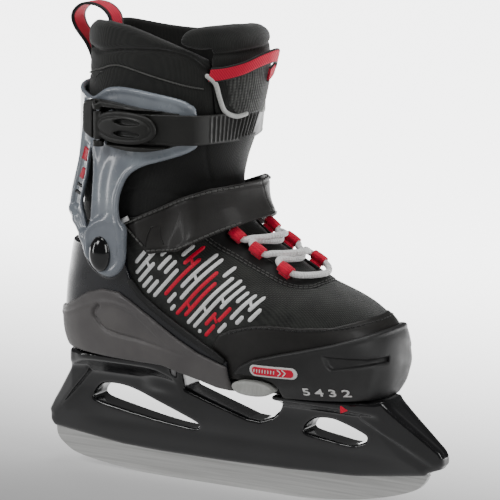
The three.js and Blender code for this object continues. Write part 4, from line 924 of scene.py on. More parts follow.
def lace_loops():
    for k, level in enumerate(("lower", "middle", "top")):
        for side, hand in ((-1, "outer"), (1, "inner")):
            centre, up, out, across = loop_frame(k, side)
            soup = Soup()
            rings = []
            sides = 20
            for s, grow in ((-4.6, -0.5), (-4.4, 0), (-2.2, 0.12), (0, 0.2), (2.2, 0.12), (4.4, 0),
                            (4.6, -0.5)):
                rings.append([centre + up * s + across * (3.7 + grow) * math.cos(a) + out * (3.1 + grow) * math.sin(a)
                              for a in (2 * math.pi * i / sides for i in range(sides))])
            for s, grow in ((4.5, -0.8), (-4.5, -0.8)):
                rings.append([centre + up * s + across * (3.2 + grow + 0.3) * math.cos(a)
                              + out * (2.7 + grow + 0.35) * math.sin(a)
                              for a in (2 * math.pi * i / sides for i in range(sides))])
            faces = []
            for r in range(len(rings)):
                nxt = (r + 1) % len(rings)
                for i in range(sides):
                    j = (i + 1) % sides
                    faces.append([r * sides + i, r * sides + j, nxt * sides + j, nxt * sides + i])
            soup.add([p for ring in rings for p in ring], faces)
            # A folded tab ties the loop down to the strip.
            tab = [centre - out * 2.2 + up * s * 3.6 for s in (-1, -0.5, 0, 0.5, 1)]
            tab = [p - out * 1.4 for p in tab]
            soup.strip(tab, [2.4] * 5, [out] * 5, 0.9, 1.2)
            finish_piece(soup.object(f"lace_loop_{level}_{hand}_tape"), "loop_tape", "frame",
                         [f"lace_loop_{level}_{hand}"])


lace_loops()


def crossing(side, z0, z1, over):
    lifts = (4.2, 4.6, 5.6) if over else (3.3, 2.0, 0.6)
    out = []
    for v in (0.78, 0.45, 0, -0.45, -0.78):
        foot_at, _, normal, _ = front_frame(side * LOOP_Y * v, z0 + (z1 - z0) * (1 - v) / 2)
        out.append(foot_at + normal * lifts[2 if v == 0 else 1 if abs(v) < 0.6 else 0])
    return out


def lace_path():
    reach = 7 / 2 + 1.2

    def strand(side, over):
        out = []
        for k in range(3):
            centre, up, _, _ = loop_frame(k, side)
            inset = np.array([0, -side * 0.5, 0])
            out += [centre - up * reach + inset, centre + up * reach + inset]
            if k < 2:
                z0 = centre[2] + reach * up[2] - 0.6
                z1 = loop_frame(k + 1, -side)[0][2] - reach * up[2] - 3
                out += crossing(side, z0, z1, over == (k == 0))
            side = -side
        foot_at, _, normal, _ = front_frame(-side * 10, 176)
        return out + [foot_at + normal * 2]

    z = loop_frame(0, 1)[0][2] - reach * 0.6 - 4
    bar = []
    for v in (1, 0, -1):
        foot_at, _, normal, _ = front_frame(v * LOOP_Y * 0.6, z)
        bar.append(foot_at + normal * (3.6 if v else 3.2))
    return strand(1, True)[::-1] + bar + strand(-1, False)


lace_soup = Soup()
lace_soup.tube(smooth_path(lace_path(), False, 8), LACE_R, sides=14)
finish_piece(lace_soup.object("lace_braid"), "lace", "frame", ["lace"])

# ---------------------------------------------------------------- instep strap
STRAP = [
    (-63, 168), (-53, 159), (-43, 151), (-20, 155), (0, 165.5), (16, 173), (32, 178), (27, 190.5),
    (12, 196.4),
    (-4, 193.8), (-24, 186.6), (-44, 177)]
STRAP_TOP = [(-58.5, 168.5), (-44, 175), (-24, 184.4), (-4, 191.6), (10, 194.3)]
STRAP_LOW = [(-42.5, 153.4), (-20, 157.2), (0, 167.4), (12, 173)]


def strap_rise(x, base):
    return base + 13.2 * smooth_step(x, -34, -8)


def strap_part(name, y0, y1):
    b = Block((-66, y0, 146), (24, y1, 202), 0.7)
    edge = b.side(STRAP)
    crown = 0.5 * smooth_step(-edge, 0, 4)
    seam = 0.35 * np.exp(-(((edge + 2.6) / 0.8) ** 2))
    # The rear end lies lower, so that the cuff clears it as it leans forward.
    tuck = 1.5 * (1 - smooth_step(b.x, -62, -49))
    skin = both(b.boot(strap_rise(b.x, 2.9) + crown - seam - tuck),
                -b.boot(strap_rise(b.x, 1.0) - 0.6 * tuck), 0.5)
    body = both(skin, edge, 1.0)
    low, high = (y0 + 4, y1 - 4)
    return relax(b.mesh(name, both(body, np.maximum(low - b.y, b.y - high), 0)), 2)


strap_flap = strap_part("instep_strap_flap", -54, 6.0)
finish_piece(strap_flap, "leather", "strap", ["instep_strap"])
strap_base = strap_part("instep_strap_base", -2.0, 54)
finish_piece(strap_base, "leather", "frame", ["instep_strap_anchor"])


def strap_surface(x, z, side):
    return side_point(x, z, side, strap_rise(x, 3.55))


# These stitches take the grey thread as painted highlight; the strap's real thread is dark.
for side, body in ((-1, "strap"), (1, "frame")):
    thread = Soup()
    for line in (STRAP_TOP, STRAP_LOW):
        path = [strap_surface(x, z, side) for x, z in smooth_path(line, False, 8)]
        thread.stitches([p for p in path if abs(p[1]) > 4], 2.3, 1.3, 0.5)
    end_line = smooth_path([(-58.5, 167.2), (-51, 160.8), (-43.6, 154.6)], False, 6)
    thread.stitches([strap_surface(x, z, side) for x, z in end_line], 2.3, 1.3, 0.5)
    finish_piece(thread.object(f"instep_strap_stitching_{body}"), "thread_grey_and_painted_highlight", body)
arch = Soup()
for line in ([(-43.5, 156), (-42.6, 162), (-40.6, 168)], [(-35.6, 168.5), (-34.5, 163), (-31.8, 158.4)],
             [(-40.6, 168), (-38, 168.8), (-35.6, 168.5)]):
    arch.tube([strap_surface(x, z, -1) for x, z in smooth_path(line, False, 4)], 0.4, 6, flat=0.5)
finish_piece(arch.object("instep_strap_welt"), "rand", "strap")

# ---------------------------------------------------------------- ankle cloth between foot and cuff
def ankle_gusset():
    b = Block((-114, -48, 162), (14, 48, 228), 0.9)
    folds = 0.5 * np.exp(-((b.line([(-66, 186), (-56, 189.5), (-44, 190), (-31, 188.5),
                                    (-20, 184)]) / 1.4) ** 2))
    seam = 0.45 * np.exp(-((b.line([(-10, 226), (-11, 214), (-11.5, 205), (-11, 194)]) / 0.8) ** 2))
    body = both(b.boot(0.2 - folds - seam), -b.boot(-5.0), 1.5)
    body = both(body, ankle_line(b.x) - 1.0 - b.z, 1.0)
    body = both(body, b.z - 223.5, 1.0)
    return relax(b.mesh("ankle_gusset_cloth", body), 2)


gusset = finish_piece(ankle_gusset(), "panel", replaces=["ankle_gusset"])
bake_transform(gusset)

# ---------------------------------------------------------------- toe shell
TOE_TOP = [(14, 80), (17, 83), (23, 89), (33, 94.5), (53, 100), (82, 107), (104, 114), (125, 121)]
VENT = [(76, 100.5), (80, 99.6), (98, 97.8), (107, 98.4), (107, 94), (97, 92.6), (81, 90.6), (78.5, 93)]


def toe_shell():
    b = Block((8, -52, 66), (113, 52, 124), 0.7)
    region = b.side(TOE_TOP + [(125, 69.8), (14, 69.8)])
    lip = 0.9 * np.exp(-(((region + 1.6) / 1.3) ** 2)) * smooth_step(b.z, 80, 90)
    vent = b.side(VENT)
    grow = 4.1 + lip - 2.4 * smooth_step(-vent, -0.4, 1.6)
    # A flat lower flank breaks away below a soft line that runs to the vent.
    crease = b.z - np.interp(b.x, [14, 50, 80, 110], [80, 80, 88.5, 92])
    grow = grow - 0.9 * smooth_step(-crease, 0, 9)
    grow = grow + 0.5 * np.exp(-(((b.x - 100 - (b.z - 84) * 0.25) / 2.0) ** 2)) * smooth_step(104 - b.z, 0,
                                                                                              10)
    body = both(b.boot(grow), region, 1.5)
    hollow = both(b.boot(0.6), 73.5 - b.z, 0.5)
    body = both(body, -hollow, 0.6)
    # The wall is scooped out behind the size button.
    notch = both(b.side([(9, 60), (47.5, 60), (47.5, 77), (44, 81), (36, 83.4), (24, 83.4), (9, 82)], False),
                 b.y + 25.3, 0)
    body = both(body, -notch, 1.0)
    slot_cut = both(b.plan([(39, -3.6), (71.6, -3.6), (71.6, 3.6), (39, 3.6)]), b.z - 74.5, 0)
    return relax(b.mesh("toe_shell_moulding", both(body, -slot_cut, 0.5)), 2)


finish_piece(toe_shell(), "toe", "toe", ["toe_shell"])


def capsule_path(x, z, half, radius, count=24):
    points = []
    for k in range(count):
        a = 2 * math.pi * k / count
        points.append((x + math.copysign(half, math.cos(a)) + radius * math.cos(a), z + radius * math.sin(a)))
    return points


def toe_badge():
    b = Block((28, -54, 80), (64, -36, 95), 0.4)
    pill = b.side(capsule_path(46.5, 88, 11.8, 3.7))
    plate = both(both(b.boot(5.0), -b.boot(3.0), 0), pill, 0.4)
    inner = b.side(capsule_path(46.5, 88, 11.0, 2.7))
    face = both(both(b.boot(5.35), -b.boot(4.6), 0), inner, 0.3)
    return relax(b.mesh("toe_badge_rim", plate), 1), relax(b.mesh("toe_badge_face", face), 1)


badge_rim, badge_face = toe_badge()
finish_piece(badge_rim, "badge_white", "toe", ["toe_badge"])
finish_piece(badge_face, "badge_red", "toe")
badge_marks = Soup()
for start in (50.5, 53.5):
    path = [(start, 89.9), (start + 1.7, 88.1), (start, 86.3)]
    badge_marks.tube([side_point(x, z, -1, 5.45) for x, z in smooth_path(path, False, 3)], 0.4, 6)
for k in range(8):
    x = 34.5 + k * 1.9
    badge_marks.tube([side_point(x, 87.2, -1, 5.45), side_point(x + 0.3, 88.9, -1, 5.45)], 0.35, 6)
finish_piece(badge_marks.object("toe_badge_marks"), "badge_white", "toe")


def size_numbers():
    """Size numbers printed along the shell's lower edge."""
    points, faces = [], []
    for k, digit in enumerate("5432"):
        curve = bpy.data.curves.new("digit", "FONT")
        curve.body, curve.size, curve.align_x = digit, 9.4, "CENTER"
        curve.resolution_u, curve.offset = 3, 0.14
        holder = bpy.data.objects.new("digit", curve)
        bpy.context.scene.collection.objects.link(holder)
        shape = holder.evaluated_get(bpy.context.evaluated_depsgraph_get()).to_mesh()
        start = len(points)
        x0 = 65.0 + k * 7.4
        for v in shape.vertices:
            x, z = x0 + v.co.x * 1.05, 74.1 - k * 0.1 + v.co.y * 0.72
            grow = 4.35 - 0.9 * smooth_step(np.interp(x, [14, 50, 80, 110], [80, 80, 88.5, 92]) - z, 0, 9)
            points.append(side_point(x, z, -1, grow))
        for p in shape.polygons:
            faces.append([start + i for i in p.vertices])
        holder.to_mesh_clear()
        bpy.data.objects.remove(holder)
        bpy.data.curves.remove(curve)
    made = mesh_object("size_numbers_print", np.array(points) * MM, faces, smooth=False)
    thick = made.modifiers.new("ink", "SOLIDIFY")
    thick.thickness, thick.offset = 0.35 * MM, 0.0
    return made


finish_piece(size_numbers(), "print_white", "toe")


def size_button():
    b = Block((14, -48, 66), (48, -34, 86), 0.45)
    oval = [(31 + 14 * math.copysign(abs(math.cos(a)) ** 0.8, math.cos(a)), 75.8 + 4.6 * math.sin(a))
            for a in (2 * math.pi * k / 40 for k in range(40))]
    dome = np.abs(b.y + 38) - 5.2 - 0.9 * (1 - ((b.x - 31) / 14) ** 2)
    ribs = 0.3 * np.sin(b.x * 2 * math.pi / 3.0) * smooth_step(-b.side(oval), 1, 2.4)
    return relax(b.mesh("size_button_cap", both(b.side(oval), dome + ribs, 1.6)), 2)


finish_piece(size_button(), "button", "button", ["size_button"])
marker = outline_plate("size_marker", [(85.8, 69.3), (90.6, 66.9), (86.2, 64.9)], -30.6, -29.0, 0.15)
finish_piece(marker, "print_red", "frame")


# ---------------------------------------------------------------- hinged cuff
# Where the cuff turns on the shell.
PIVOT_X, PIVOT_Z = -74, 149
# The upright pin that the buckle lever turns on.
LEVER_PIN_X, LEVER_PIN_Y = -74, -48.46
CUFF_SIDE = [
    (-128, 178), (-110, 175), (-104, 168), (-93, 156), (-86, 142), (-74, 134.5), (-65, 136), (-58.5, 144),
    (-58.5, 160), (-60.5, 180), (-58, 192), (-53, 200), (-44, 205.5), (-30, 210), (-17, 215), (-11, 222),
    (-11, 240), (-14, 245), (-24, 249), (-52, 253), (-70, 252), (-84, 245), (-98, 247), (-128, 249)]
CUFF_SLOT = [
    (-85, 213.5), (-82.8, 206), (-81.9, 196.7), (-81.6, 187.4), (-81.9, 178), (-83.2, 169.6), (-86.2, 163.4),
    (-89.1, 170.5), (-91.7, 177.6), (-90.4, 186), (-88.2, 195.7), (-87.3, 205.2)]
LOBE = [(-86, 156), (-83.8, 146), (-78, 138.4), (-71, 135.6), (-63.9, 138), (-58.6, 145), (-57, 156.4),
        (-57.6, 168),
        (-70, 172), (-84, 165)]
ARM_RIDGE = [(-77, 166), (-75.5, 178), (-75.5, 192), (-73, 204), (-67, 211), (-56, 215)]
SPINE_BEAD = [(-93, 240), (-95, 226), (-98.5, 210), (-101.5, 195), (-104, 180), (-105.5, 172)]
ARM_BEAD = [(-17, 216.5), (-30, 212), (-43, 207.5), (-53, 202), (-58.5, 194), (-61.5, 182), (-60, 163),
            (-59.5, 150)]
TOP_BEAD = [(-84, 243.8), (-77, 247), (-69, 250.6), (-52, 251.6), (-25, 247.6), (-15, 243.6)]


def stand_off(z):
    return 6 + (2.6 - 6) * smooth_step(z, 176, 210)


def cuff_face(b):
    """How far the cuff's outer face stands off the foot form."""
    rise = 1.2 * np.exp(-((b.line(TOP_BEAD) / 2.1) ** 2)) + 1.0 * np.exp(-((b.line(SPINE_BEAD) / 1.8) ** 2))
    rise = rise + 0.8 * np.exp(-((b.line(ARM_BEAD) / 1.7) ** 2)) - 0.9 * np.exp(-((b.line(ARM_RIDGE) / 5.0) ** 2))
    rise = rise + 0.8 * np.exp(-((b.side(CUFF_SLOT, True) / 1.8) ** 2))
    # The flank of the spine is let in.
    spine = b.side([(-86.5, 215), (-92.5, 217), (-96.5, 206), (-99.5, 192), (-102.5, 176), (-95, 174.5),
                    (-93.2, 178),
                    (-92, 187), (-89.8, 197), (-88.9, 206)])
    return stand_off(b.z) + 3.0 + rise - 1.3 * smooth_step(-spine, -0.2, 1.6)


def cuff_shape():
    b = Block((-122, -55, 126), (-7, 55, 258), 0.8)
    body = both(b.boot(cuff_face(b)), -b.boot(stand_off(b.z)), 0.8)
    body = both(body, b.side(smooth_path(CUFF_SIDE, True, 4)), 1.6)
    # Below the lobe's outline the ear stands clear of the shell's pivot boss.
    ear_gap = both(np.sqrt((b.x - PIVOT_X) ** 2 + (b.z - PIVOT_Z) ** 2) - 18, np.abs(b.y) - 43.6, 0)
    body = both(body, -both(ear_gap, 22 - np.abs(b.y), 0), 0.5)
    for side in (-1, 1):
        lobe = b.side(LOBE, True)
        ear = both(lobe, np.abs(b.y - side * 45.4) - 2.0 - 0.9 * np.exp(-(((lobe + 1.8) / 1.4) ** 2)), 1.2)
        body = either(body, ear, 3.0)
        body = both(body, -b.rod(*PIVOT, 4.2, side * 30, side * 60), 0.3)
    body = both(body, -b.side(CUFF_SLOT, True), 1.2)
    # Round tubes run from the ears up to the spine's corner.
    for side in (-1, 1):
        bend = [(-104.3, 30.8, 172.6), (-97.0, 37.4, 167.6), (-88.5, 42.6, 158.5), (-83.0, 45.2, 148.0)]
        bend = [np.array([x, side * y, z]) for x, y, z in bend]
        for p, q in zip(bend[:-1], bend[1:]):
            d = q - p
            t = np.clip(((b.x - p[0]) * d[0] + (b.y - p[1]) * d[1] + (b.z - p[2]) * d[2]) / (d @ d), 0, 1)
            tube = np.sqrt((b.x - p[0] - t * d[0]) ** 2 + (b.y - p[1] - t * d[1]) ** 2
                           + (b.z - p[2] - t * d[2]) ** 2) - 3.4
            body = either(body, tube, 2.2)
    body = both(body, -both(b.boot(stand_off(b.z) - 0.2), b.boot(2.4), 0), 0.3)
    for x, z, side in ((-65.5, 224.5, -1), (-65.5, 235.5, -1), (-40, 230, 1)):
        body = both(body, -b.rod(x, z, 2.1, side * 35, side * 60), 0.2)
    return relax(b.mesh("cuff_shell", body), 2)


finish_piece(cuff_shape(), "cuff", "cuff", ["cuff"])


def spine_marks(name, shapes):
    """Slanted marks printed on the flank of the spine."""
    b = Block((-106, -44, 172), (-83, 44, 218), 0.45)
    face = cuff_face(b)
    marks = b.side(shapes[0])
    for shape in shapes[1:]:
        marks = np.minimum(marks, b.side(shape))
    return relax(b.mesh(name, both(both(b.boot(face + 0.6), -b.boot(face - 0.7), 0), marks, 0.2)), 1)


hatch_red = spine_marks("spine_marks_red", [
    [(-93.4, 212.6), (-88.6, 211.2), (-91.4, 203.4), (-96.6, 204.6)],
    [(-94.4, 199.8), (-90.6, 198.4), (-92.9, 192.2), (-98.2, 193.2)]])
hatch_black = spine_marks("spine_marks_black", [
    [(-98.8, 190.0), (-93.0, 189.0), (-93.6, 187.0), (-99.4, 187.8)],
    [(-100.0, 185.4), (-94.2, 184.4), (-94.8, 182.4), (-100.6, 183.2)]])
finish_piece(hatch_red, "hatch", "cuff")
finish_piece(hatch_black, "cuff_dark", "cuff")


def pivot_cap(side, name):
    b = Block((-84, min(side * 36, side * 56), 136), (-64, max(side * 36, side * 56), 162), 0.5)
    dome = (np.sqrt(((b.x - PIVOT_X) / 7.9) ** 2 + ((b.z - PIVOT_Z) / 11.4) ** 2 + ((b.y - side * 46.6) / 6.6) ** 2) - 1) * 6.6
    dome = both(dome, side * (side * 47.5 - b.y), 0.4)
    stem = b.rod(*PIVOT, 4.0, side * 39, side * 49)
    return relax(b.mesh(name, either(dome, stem, 0.3)), 2)


finish_piece(pivot_cap(-1, "ankle_pivot_cap_outer"), "cap", "frame", ["ankle_pivot_outer"])
finish_piece(pivot_cap(1, "ankle_pivot_cap_inner"), "cap", "frame", ["ankle_pivot_inner"])

# ---------------------------------------------------------------- ratchet buckle
BUCKLE_SIDE = [
    (-87, 226), (-87.5, 236), (-86, 242.4), (-78, 244.6), (-64, 244.2), (-42, 241.8), (-22, 240), (-19, 238),
    (-18.6, 221),
    (-22, 219), (-39, 215.6), (-58, 216), (-74, 219.5), (-84, 222.8)]
LEVER_OVAL = [(-53.5 + 22.5 * math.copysign(abs(math.cos(a)) ** 0.8, math.cos(a)),
               229.5 + 10.2 * math.copysign(abs(math.sin(a)) ** 0.9, math.sin(a)))
              for a in (2 * math.pi * k / 48 for k in range(48))]


def buckle_body():
    b = Block((-88, -60, 212), (-16, -30, 247), 0.55)
    side = b.side(BUCKLE_SIDE, True)
    middle = np.abs(b.z - 229.5)
    # Rails along both edges; between them the base is low where the strap and the lever lie.
    rails = np.maximum(smooth_step(middle, 10.4, 11.6), smooth_step(-b.x, 76, 78.5))
    depth = 7.3 + 5.4 * rails - 0.35 * np.exp(-(((middle - 12.4) / 0.6) ** 2))
    body = both(both(b.boot(depth), -b.boot(5.9), 0), side, 1.4)
    barrel = both(np.sqrt((b.x - LEVER_PIN_X) ** 2 + (b.y - LEVER_PIN_Y) ** 2) - 3.3,
                  np.maximum(middle - 13.3, 9.4 - middle), 0.6)
    body = either(body, barrel, 1.0)
    body = both(body, -both(np.sqrt((b.x - LEVER_PIN_X) ** 2 + (b.y - LEVER_PIN_Y) ** 2) - 1.75, middle - 20,
                            0), 0.2)
    for z in (224.5, 235.5):
        body = both(body, -b.rod(-65.5, z, 3.9, -60, -43), 0.2)
    return relax(b.mesh("buckle_base_moulding", body), 2)


finish_piece(buckle_body(), "buckle", "cuff", ["buckle_base"])


def buckle_lever():
    b = Block((-80, -62, 217), (-27, -34, 242), 0.5)
    oval = b.side(LEVER_OVAL)
    dome = 12.9 + 1.0 * smooth_step(-oval, 0, 5) - 0.9 * np.exp(-(((oval + 3.2) / 0.9) ** 2))
    body = both(both(b.boot(dome), -b.boot(10.3), 0), oval, 1.5)
    # Two finger slots, one above the other.
    for z, turn in ((233.2, 1), (226.0, -1)):
        lens = [(-60, z), (-56, z + 1.5), (-50.5, z + 1.9), (-45, z + 1.4), (-41, z - 0.2 * turn),
                (-45, z - 1.5),
                (-50.5, z - 1.9), (-56, z - 1.5)]
        body = both(body, -both(b.side(lens, True), -b.boot(10.9), 0.3), 0.5)
    barrel = np.sqrt((b.x - LEVER_PIN_X) ** 2 + (b.y - LEVER_PIN_Y) ** 2) - 2.9
    body = either(body, both(barrel, np.abs(b.z - 229.5) - 8.8, 0.5), 1.2)
    body = both(body, -(np.sqrt((b.x - LEVER_PIN_X) ** 2 + (b.y - LEVER_PIN_Y) ** 2) - 1.7), 0.2)
    return relax(b.mesh("buckle_lever_moulding", body), 2)


finish_piece(buckle_lever(), "buckle", "lever", ["buckle_lever"])

LADDER_HALF = 9.4
RIB_PITCH = 2.9


def ladder_grow(base, x):
    return base - 10.3 * smooth_step(x, -11, 4)


def ladder_strap():
    b = Block((-62, -53, 218.5), (30, 54, 240.5), 0.6)
    middle = np.abs(b.z - 229.5)
    # Ratchet ribs stand at even steps of length round the front of the strap.
    walk = [side_point(x, 229.5, -1, 0) for x in np.linspace(-40, 9, 90)]
    walk += [front_point(y, 229.5, 0) for y in np.linspace(-18, 34, 60)]
    walk = np.array([p for p in walk if np.isfinite(p).all()])
    turn_of = np.arctan2(walk[:, 1], walk[:, 0] + 40)
    order = np.argsort(turn_of)
    walk, turn_of = walk[order], turn_of[order]
    length = np.concatenate([[0], np.cumsum(np.linalg.norm(np.diff(walk[:, :2], axis=0), axis=1))])
    start = np.interp(np.arctan2(-37.5, 2 + 40), turn_of, length)
    s = np.interp(np.arctan2(b.y, b.x + 40), turn_of, length) - start
    wave = np.clip(1.6 * np.sin(2 * math.pi * s / RIB_PITCH), -1, 1)
    ribs = wave * smooth_step(s, -0.5, 0.3) * smooth_step(44 - s, 0,
                                                          1) * smooth_step(LADDER_HALF - 1.4 - middle, 0, 0.7)
    out = ladder_grow(9.9, b.x) + 0.8 * ribs + 0.5 * smooth_step(middle, LADDER_HALF - 1.6, LADDER_HALF - 1.0)
    body = both(b.boot(out), -b.boot(ladder_grow(7.7, b.x)), 0.4)
    body = both(body, np.maximum(middle - LADDER_HALF, -58.6 - b.x), 0.9)
    body = both(body, -b.rod(-40, 229.5, 2.1, 30, 60), 0.2)
    return relax(b.mesh("ladder_strap_moulding", body), 1)


finish_piece(ladder_strap(), "buckle", "cuff", ["ladder_strap"])

# ---------------------------------------------------------------- padded collar and tongue top
SEAM_TOP = [(-96, 273), (-89, 272.5), (-80, 272), (-63, 275), (-47, 276), (-33, 276), (-21, 274),
            (-14, 270.5),
            (-8, 265.5), (-2, 262)]
PIPE_LINE = [(-100, 256), (-90, 259.5), (-80, 262), (-72, 264.5), (-63, 265), (-47, 262), (-29, 258),
             (-18, 255.5),
             (-9, 254)]
COLLAR_SIDE = [
    (-130, 222), (-5, 222), (-5, 266), (-8, 271.5), (-17, 276), (-31, 281.5), (-46, 286.5), (-60, 290),
    (-76, 291.5),
    (-90, 290.5), (-98, 287), (-103, 280), (-130, 262)]


def collar_pad():
    b = Block((-110, -46, 219), (-2, 46, 295), 0.8)
    seam = b.line(SEAM_TOP)
    pipe = b.line(PIPE_LINE)
    above = smooth_step(b.z - np.interp(b.x, [p[0] for p in SEAM_TOP], [p[1] for p in SEAM_TOP]), -1, 5)
    puff = 1.2 * above - 2.2 * np.exp(-((seam / 1.5) ** 2)) - 0.6 * np.exp(-((pipe / 1.6) ** 2))
    puff = puff + 0.9 * smooth_step(b.z, 226, 240) * np.exp(-(((b.z - 246) / 9) ** 2))
    # Fullness in the cloth is never quite even.
    puff = puff + 0.25 * np.sin(b.x / 7.3 + b.z / 11.0) * np.sin(b.z / 8.1 - b.x / 17.0)
    outer = b.boot(puff - 0.5)
    inner = b.boot(-7.6 + 0.6 * np.sin(b.z / 9.0))
    rim = np.interp(b.y, [-46, 10, 41, 46], [300, 291, 279, 277])
    body = both(both(outer, -inner, 5.0), b.side(COLLAR_SIDE), 4.5)
    body = both(body, b.z - rim, 4.0)
    front_edge = both(body, b.x + 5.2, 2.0)
    return relax(b.mesh("collar_padding", front_edge), 2)


collar = finish_piece(collar_pad(), "knit", "cuff", ["collar"])

pipe_soup, back_soup = Soup(), Soup()
for side in (-1, 1):
    pipe_soup.tube([side_point(x, z, side, -0.15) for x, z in smooth_path(PIPE_LINE, False, 6)], 0.5, 8)
    back = smooth_path([(-80, 260), (-84, 258.5), (-90, 252), (-97, 242.5)], False, 6)
    back_soup.stitches([side_point(x, z, side, 0.1) for x, z in back], 2.4, 1.8, 0.36)
    top = smooth_path([(-86, 277.5), (-76, 279.8), (-60, 280.2), (-46, 279.6), (-32, 277), (-22, 274.5)],
                      False, 5)
finish_piece(pipe_soup.object("collar_piping"), "thread_grey_and_painted_highlight", "cuff")
finish_piece(back_soup.object("collar_back_stitching"), "thread_grey_and_painted_highlight", "cuff")

TONGUE_FRONT = [(-46, 221), (44, 221), (39, 257), (34, 268), (26, 278), (15, 286.5), (2, 291), (-12, 291.5),
                (-24, 288), (-32, 280), (-40, 266)]
TONGUE_U = [(-31.5, 262), (-28.5, 257), (-26, 248), (-22.5, 240), (-16, 236.5), (-9.5, 237.5)]


def tongue_pad():
    b = Block((-25, -43, 219), (20, 42, 297), 0.75)
    outline = b.front(TONGUE_FRONT)
    cushion = smooth_step(b.z, 276.5, 279.5)
    seam = np.exp(-(((b.z - 277.5 - 0.1 * b.y) / 1.3) ** 2))
    u_gap = b.line(TONGUE_U, of="yz")
    puff = 0.5 + 1.0 * cushion - 1.7 * seam - 0.9 * np.exp(-((u_gap / 1.6) ** 2))
    puff = puff + 0.25 * np.sin(b.y / 6.3 + b.z / 9.0) * np.sin(b.z / 7.1)
    outer = b.boot(-0.9)
    # The front face swells between its seams.
    body = both(both(outer - puff, -b.boot(-8.0), 4.0), outline, 4.0)
    body = both(body, -4.6 - b.x, 1.2)
    # The top cushion is a thick roll that reaches back over the collar's front edge.
    roll = b.side([(-22, 280.6), (-21.4, 286.4), (-16, 290.4), (-5, 292.6), (7, 291.6), (13.4, 285.5),
                   (11, 279.8),
                   (4, 279.4), (-4, 278.2), (-13, 277.6)], True)
    roll = both(roll, both(b.boot(1.2) + 0.2 * np.sin(b.y / 5.0), -b.boot(-12.0), 5.0), 5.0)
    roll = both(roll, b.front([(-44, 270), (38, 270), (31, 279), (24, 284), (10, 290.5), (-10, 292.6),
                               (-30, 291.5),
                               (-44, 288)]), 3.0)
    body = either(body, roll, 1.0)
    groove = both(np.abs(b.z - 229.5) - 8.6, -b.boot(-3.9), 0)
    return relax(b.mesh("tongue_top_padding", both(body, -groove, 1.0)), 2)


tongue = finish_piece(tongue_pad(), "knit", "cuff", ["tongue_upper"])

u_soup = Soup()
u_path = [front_point(y, z, 0.1) for y, z in smooth_path(TONGUE_U, False, 6)]
u_soup.tube(u_path, 1.5, 12)
u_mirror = [front_point(-y, z, 0.1) for y, z in smooth_path(TONGUE_U, False, 6)]
u_soup.tube(u_mirror, 1.5, 12)
finish_piece(u_soup.object("tongue_piping"), "piping", "cuff")


def tongue_patch():
    b = Block((-4, -28, 232), (22, 28, 276), 0.6)
    shape = b.front([(-25.5, 264), (-24, 268), (24, 268), (25.5, 264), (21, 244), (16, 238.6), (8, 237.2),
                     (-8, 237.2), (-16, 238.6), (-21, 244)])
    return relax(b.mesh("tongue_patch", both(both(b.boot(0.35), -b.boot(-1.6), 0), shape, 1.0)), 2)


finish_piece(tongue_patch(), "patch", "cuff")


# ---------------------------------------------------------------- pull loops of woven tape
def tape_band(name, centres, across, half, thick):
    """A woven band: its path, the direction across it, half its width and its thickness."""
    c = np.array(centres, float)
    tangent = np.gradient(c, axis=0)
    tangent /= np.linalg.norm(tangent, axis=1)[:, None]
    points, faces = [], []
    profile = [(-1, -0.3), (-0.93, -1), (-0.5, -1), (0, -1), (0.5, -1), (0.93, -1), (1, -0.3),
               (1, 0.3), (0.93, 1), (0.5, 1), (0, 1), (-0.5, 1), (-0.93, 1), (-1, 0.3)]
    across = np.broadcast_to(across, c.shape)
    for p, t, w in zip(c, tangent, across):
        n = np.cross(t, w)
        n /= np.linalg.norm(n)
        for u, v in profile:
            points.append(p + w * half * u + n * v * thick / 2)
    size = len(profile)
    for r in range(len(c) - 1):
        for k in range(size):
            a, b = r * size + k, r * size + (k + 1) % size
            faces.append([a, b, b + size, a + size])
    faces.append(list(range(size))[::-1])
    faces.append([(len(c) - 1) * size + k for k in range(size)])
    made = mesh_object(name, np.array(points) * MM, faces)
    edge = made.data.attributes.new("from_middle", "FLOAT", "POINT")
    edge.data.foreach_set("value", np.tile([abs(u) for u, _ in profile], len(c)).astype(np.float32))
    return made


# Half widths of the two pull tapes, in mm.
HEEL_TAPE_HALF, TONGUE_TAPE_HALF = 7.5, 4.6
HEEL_LOOP = [(-105.3, 252), (-105.6, 262), (-110, 272), (-119, 283), (-120, 291), (-112.5, 297),
             (-101, 296.3),
             (-93.2, 290), (-91.8, 279)]
heel_loop = tape_band("heel_pull_tape", [(x, 0, z) for x, z in smooth_path(HEEL_LOOP, False, 10)],
                      np.array([0.0, 1.0, 0.0]), HEEL_TAPE_HALF, 1.7)
finish_piece(heel_loop, "heel_tape", "cuff", ["heel_pull_loop"])
TONGUE_LOOP, TONGUE_LEAN = [], []
for y, lift, z, lean in ((-31, 0.6, 262.5, 0), (-27, 2.8, 263.6, 0), (-20, 4.8, 266.5, -0.15),
                         (-12, 6.0, 270.3, -0.25), (-4, 6.8, 272.4, -0.15), (3, 6.8, 272.6, 0),
                         (8, 6.0, 271, 0),
                         (10.5, 4.4, 267.5, 0), (9, 3.0, 263.5, 0), (3, 2.0, 260.5, 0)):
    TONGUE_LOOP.append((front_point(y, z)[0] + lift, y, z))
    TONGUE_LEAN.append(lean)
loop_line = smooth_path(TONGUE_LOOP, False, 8)
loop_lean = np.interp(np.linspace(0, 1, len(loop_line)), np.linspace(0, 1, len(TONGUE_LEAN)), TONGUE_LEAN)
loop_across = np.array([np.array([0.25, a * 0.55, 1.0]) / np.linalg.norm([0.25, a * 0.55,
                                                                          1.0]) for a in loop_lean])
tongue_loop = tape_band("tongue_pull_tape", loop_line, loop_across, TONGUE_TAPE_HALF, 1.5)
finish_piece(tongue_loop, "tongue_tape", "cuff", ["tongue_pull_loop"])
tag = Soup()
tag.strip([strap_surface(-60.5 + k * 0.9, 170.2 + k * 0.45, -1) for k in range(6)], [1.6] * 6,
          [side_frame(-58, 171, -1, 3)[1]] * 6, 0.8)
finish_piece(tag.object("instep_strap_tip"), "print_white", "strap")


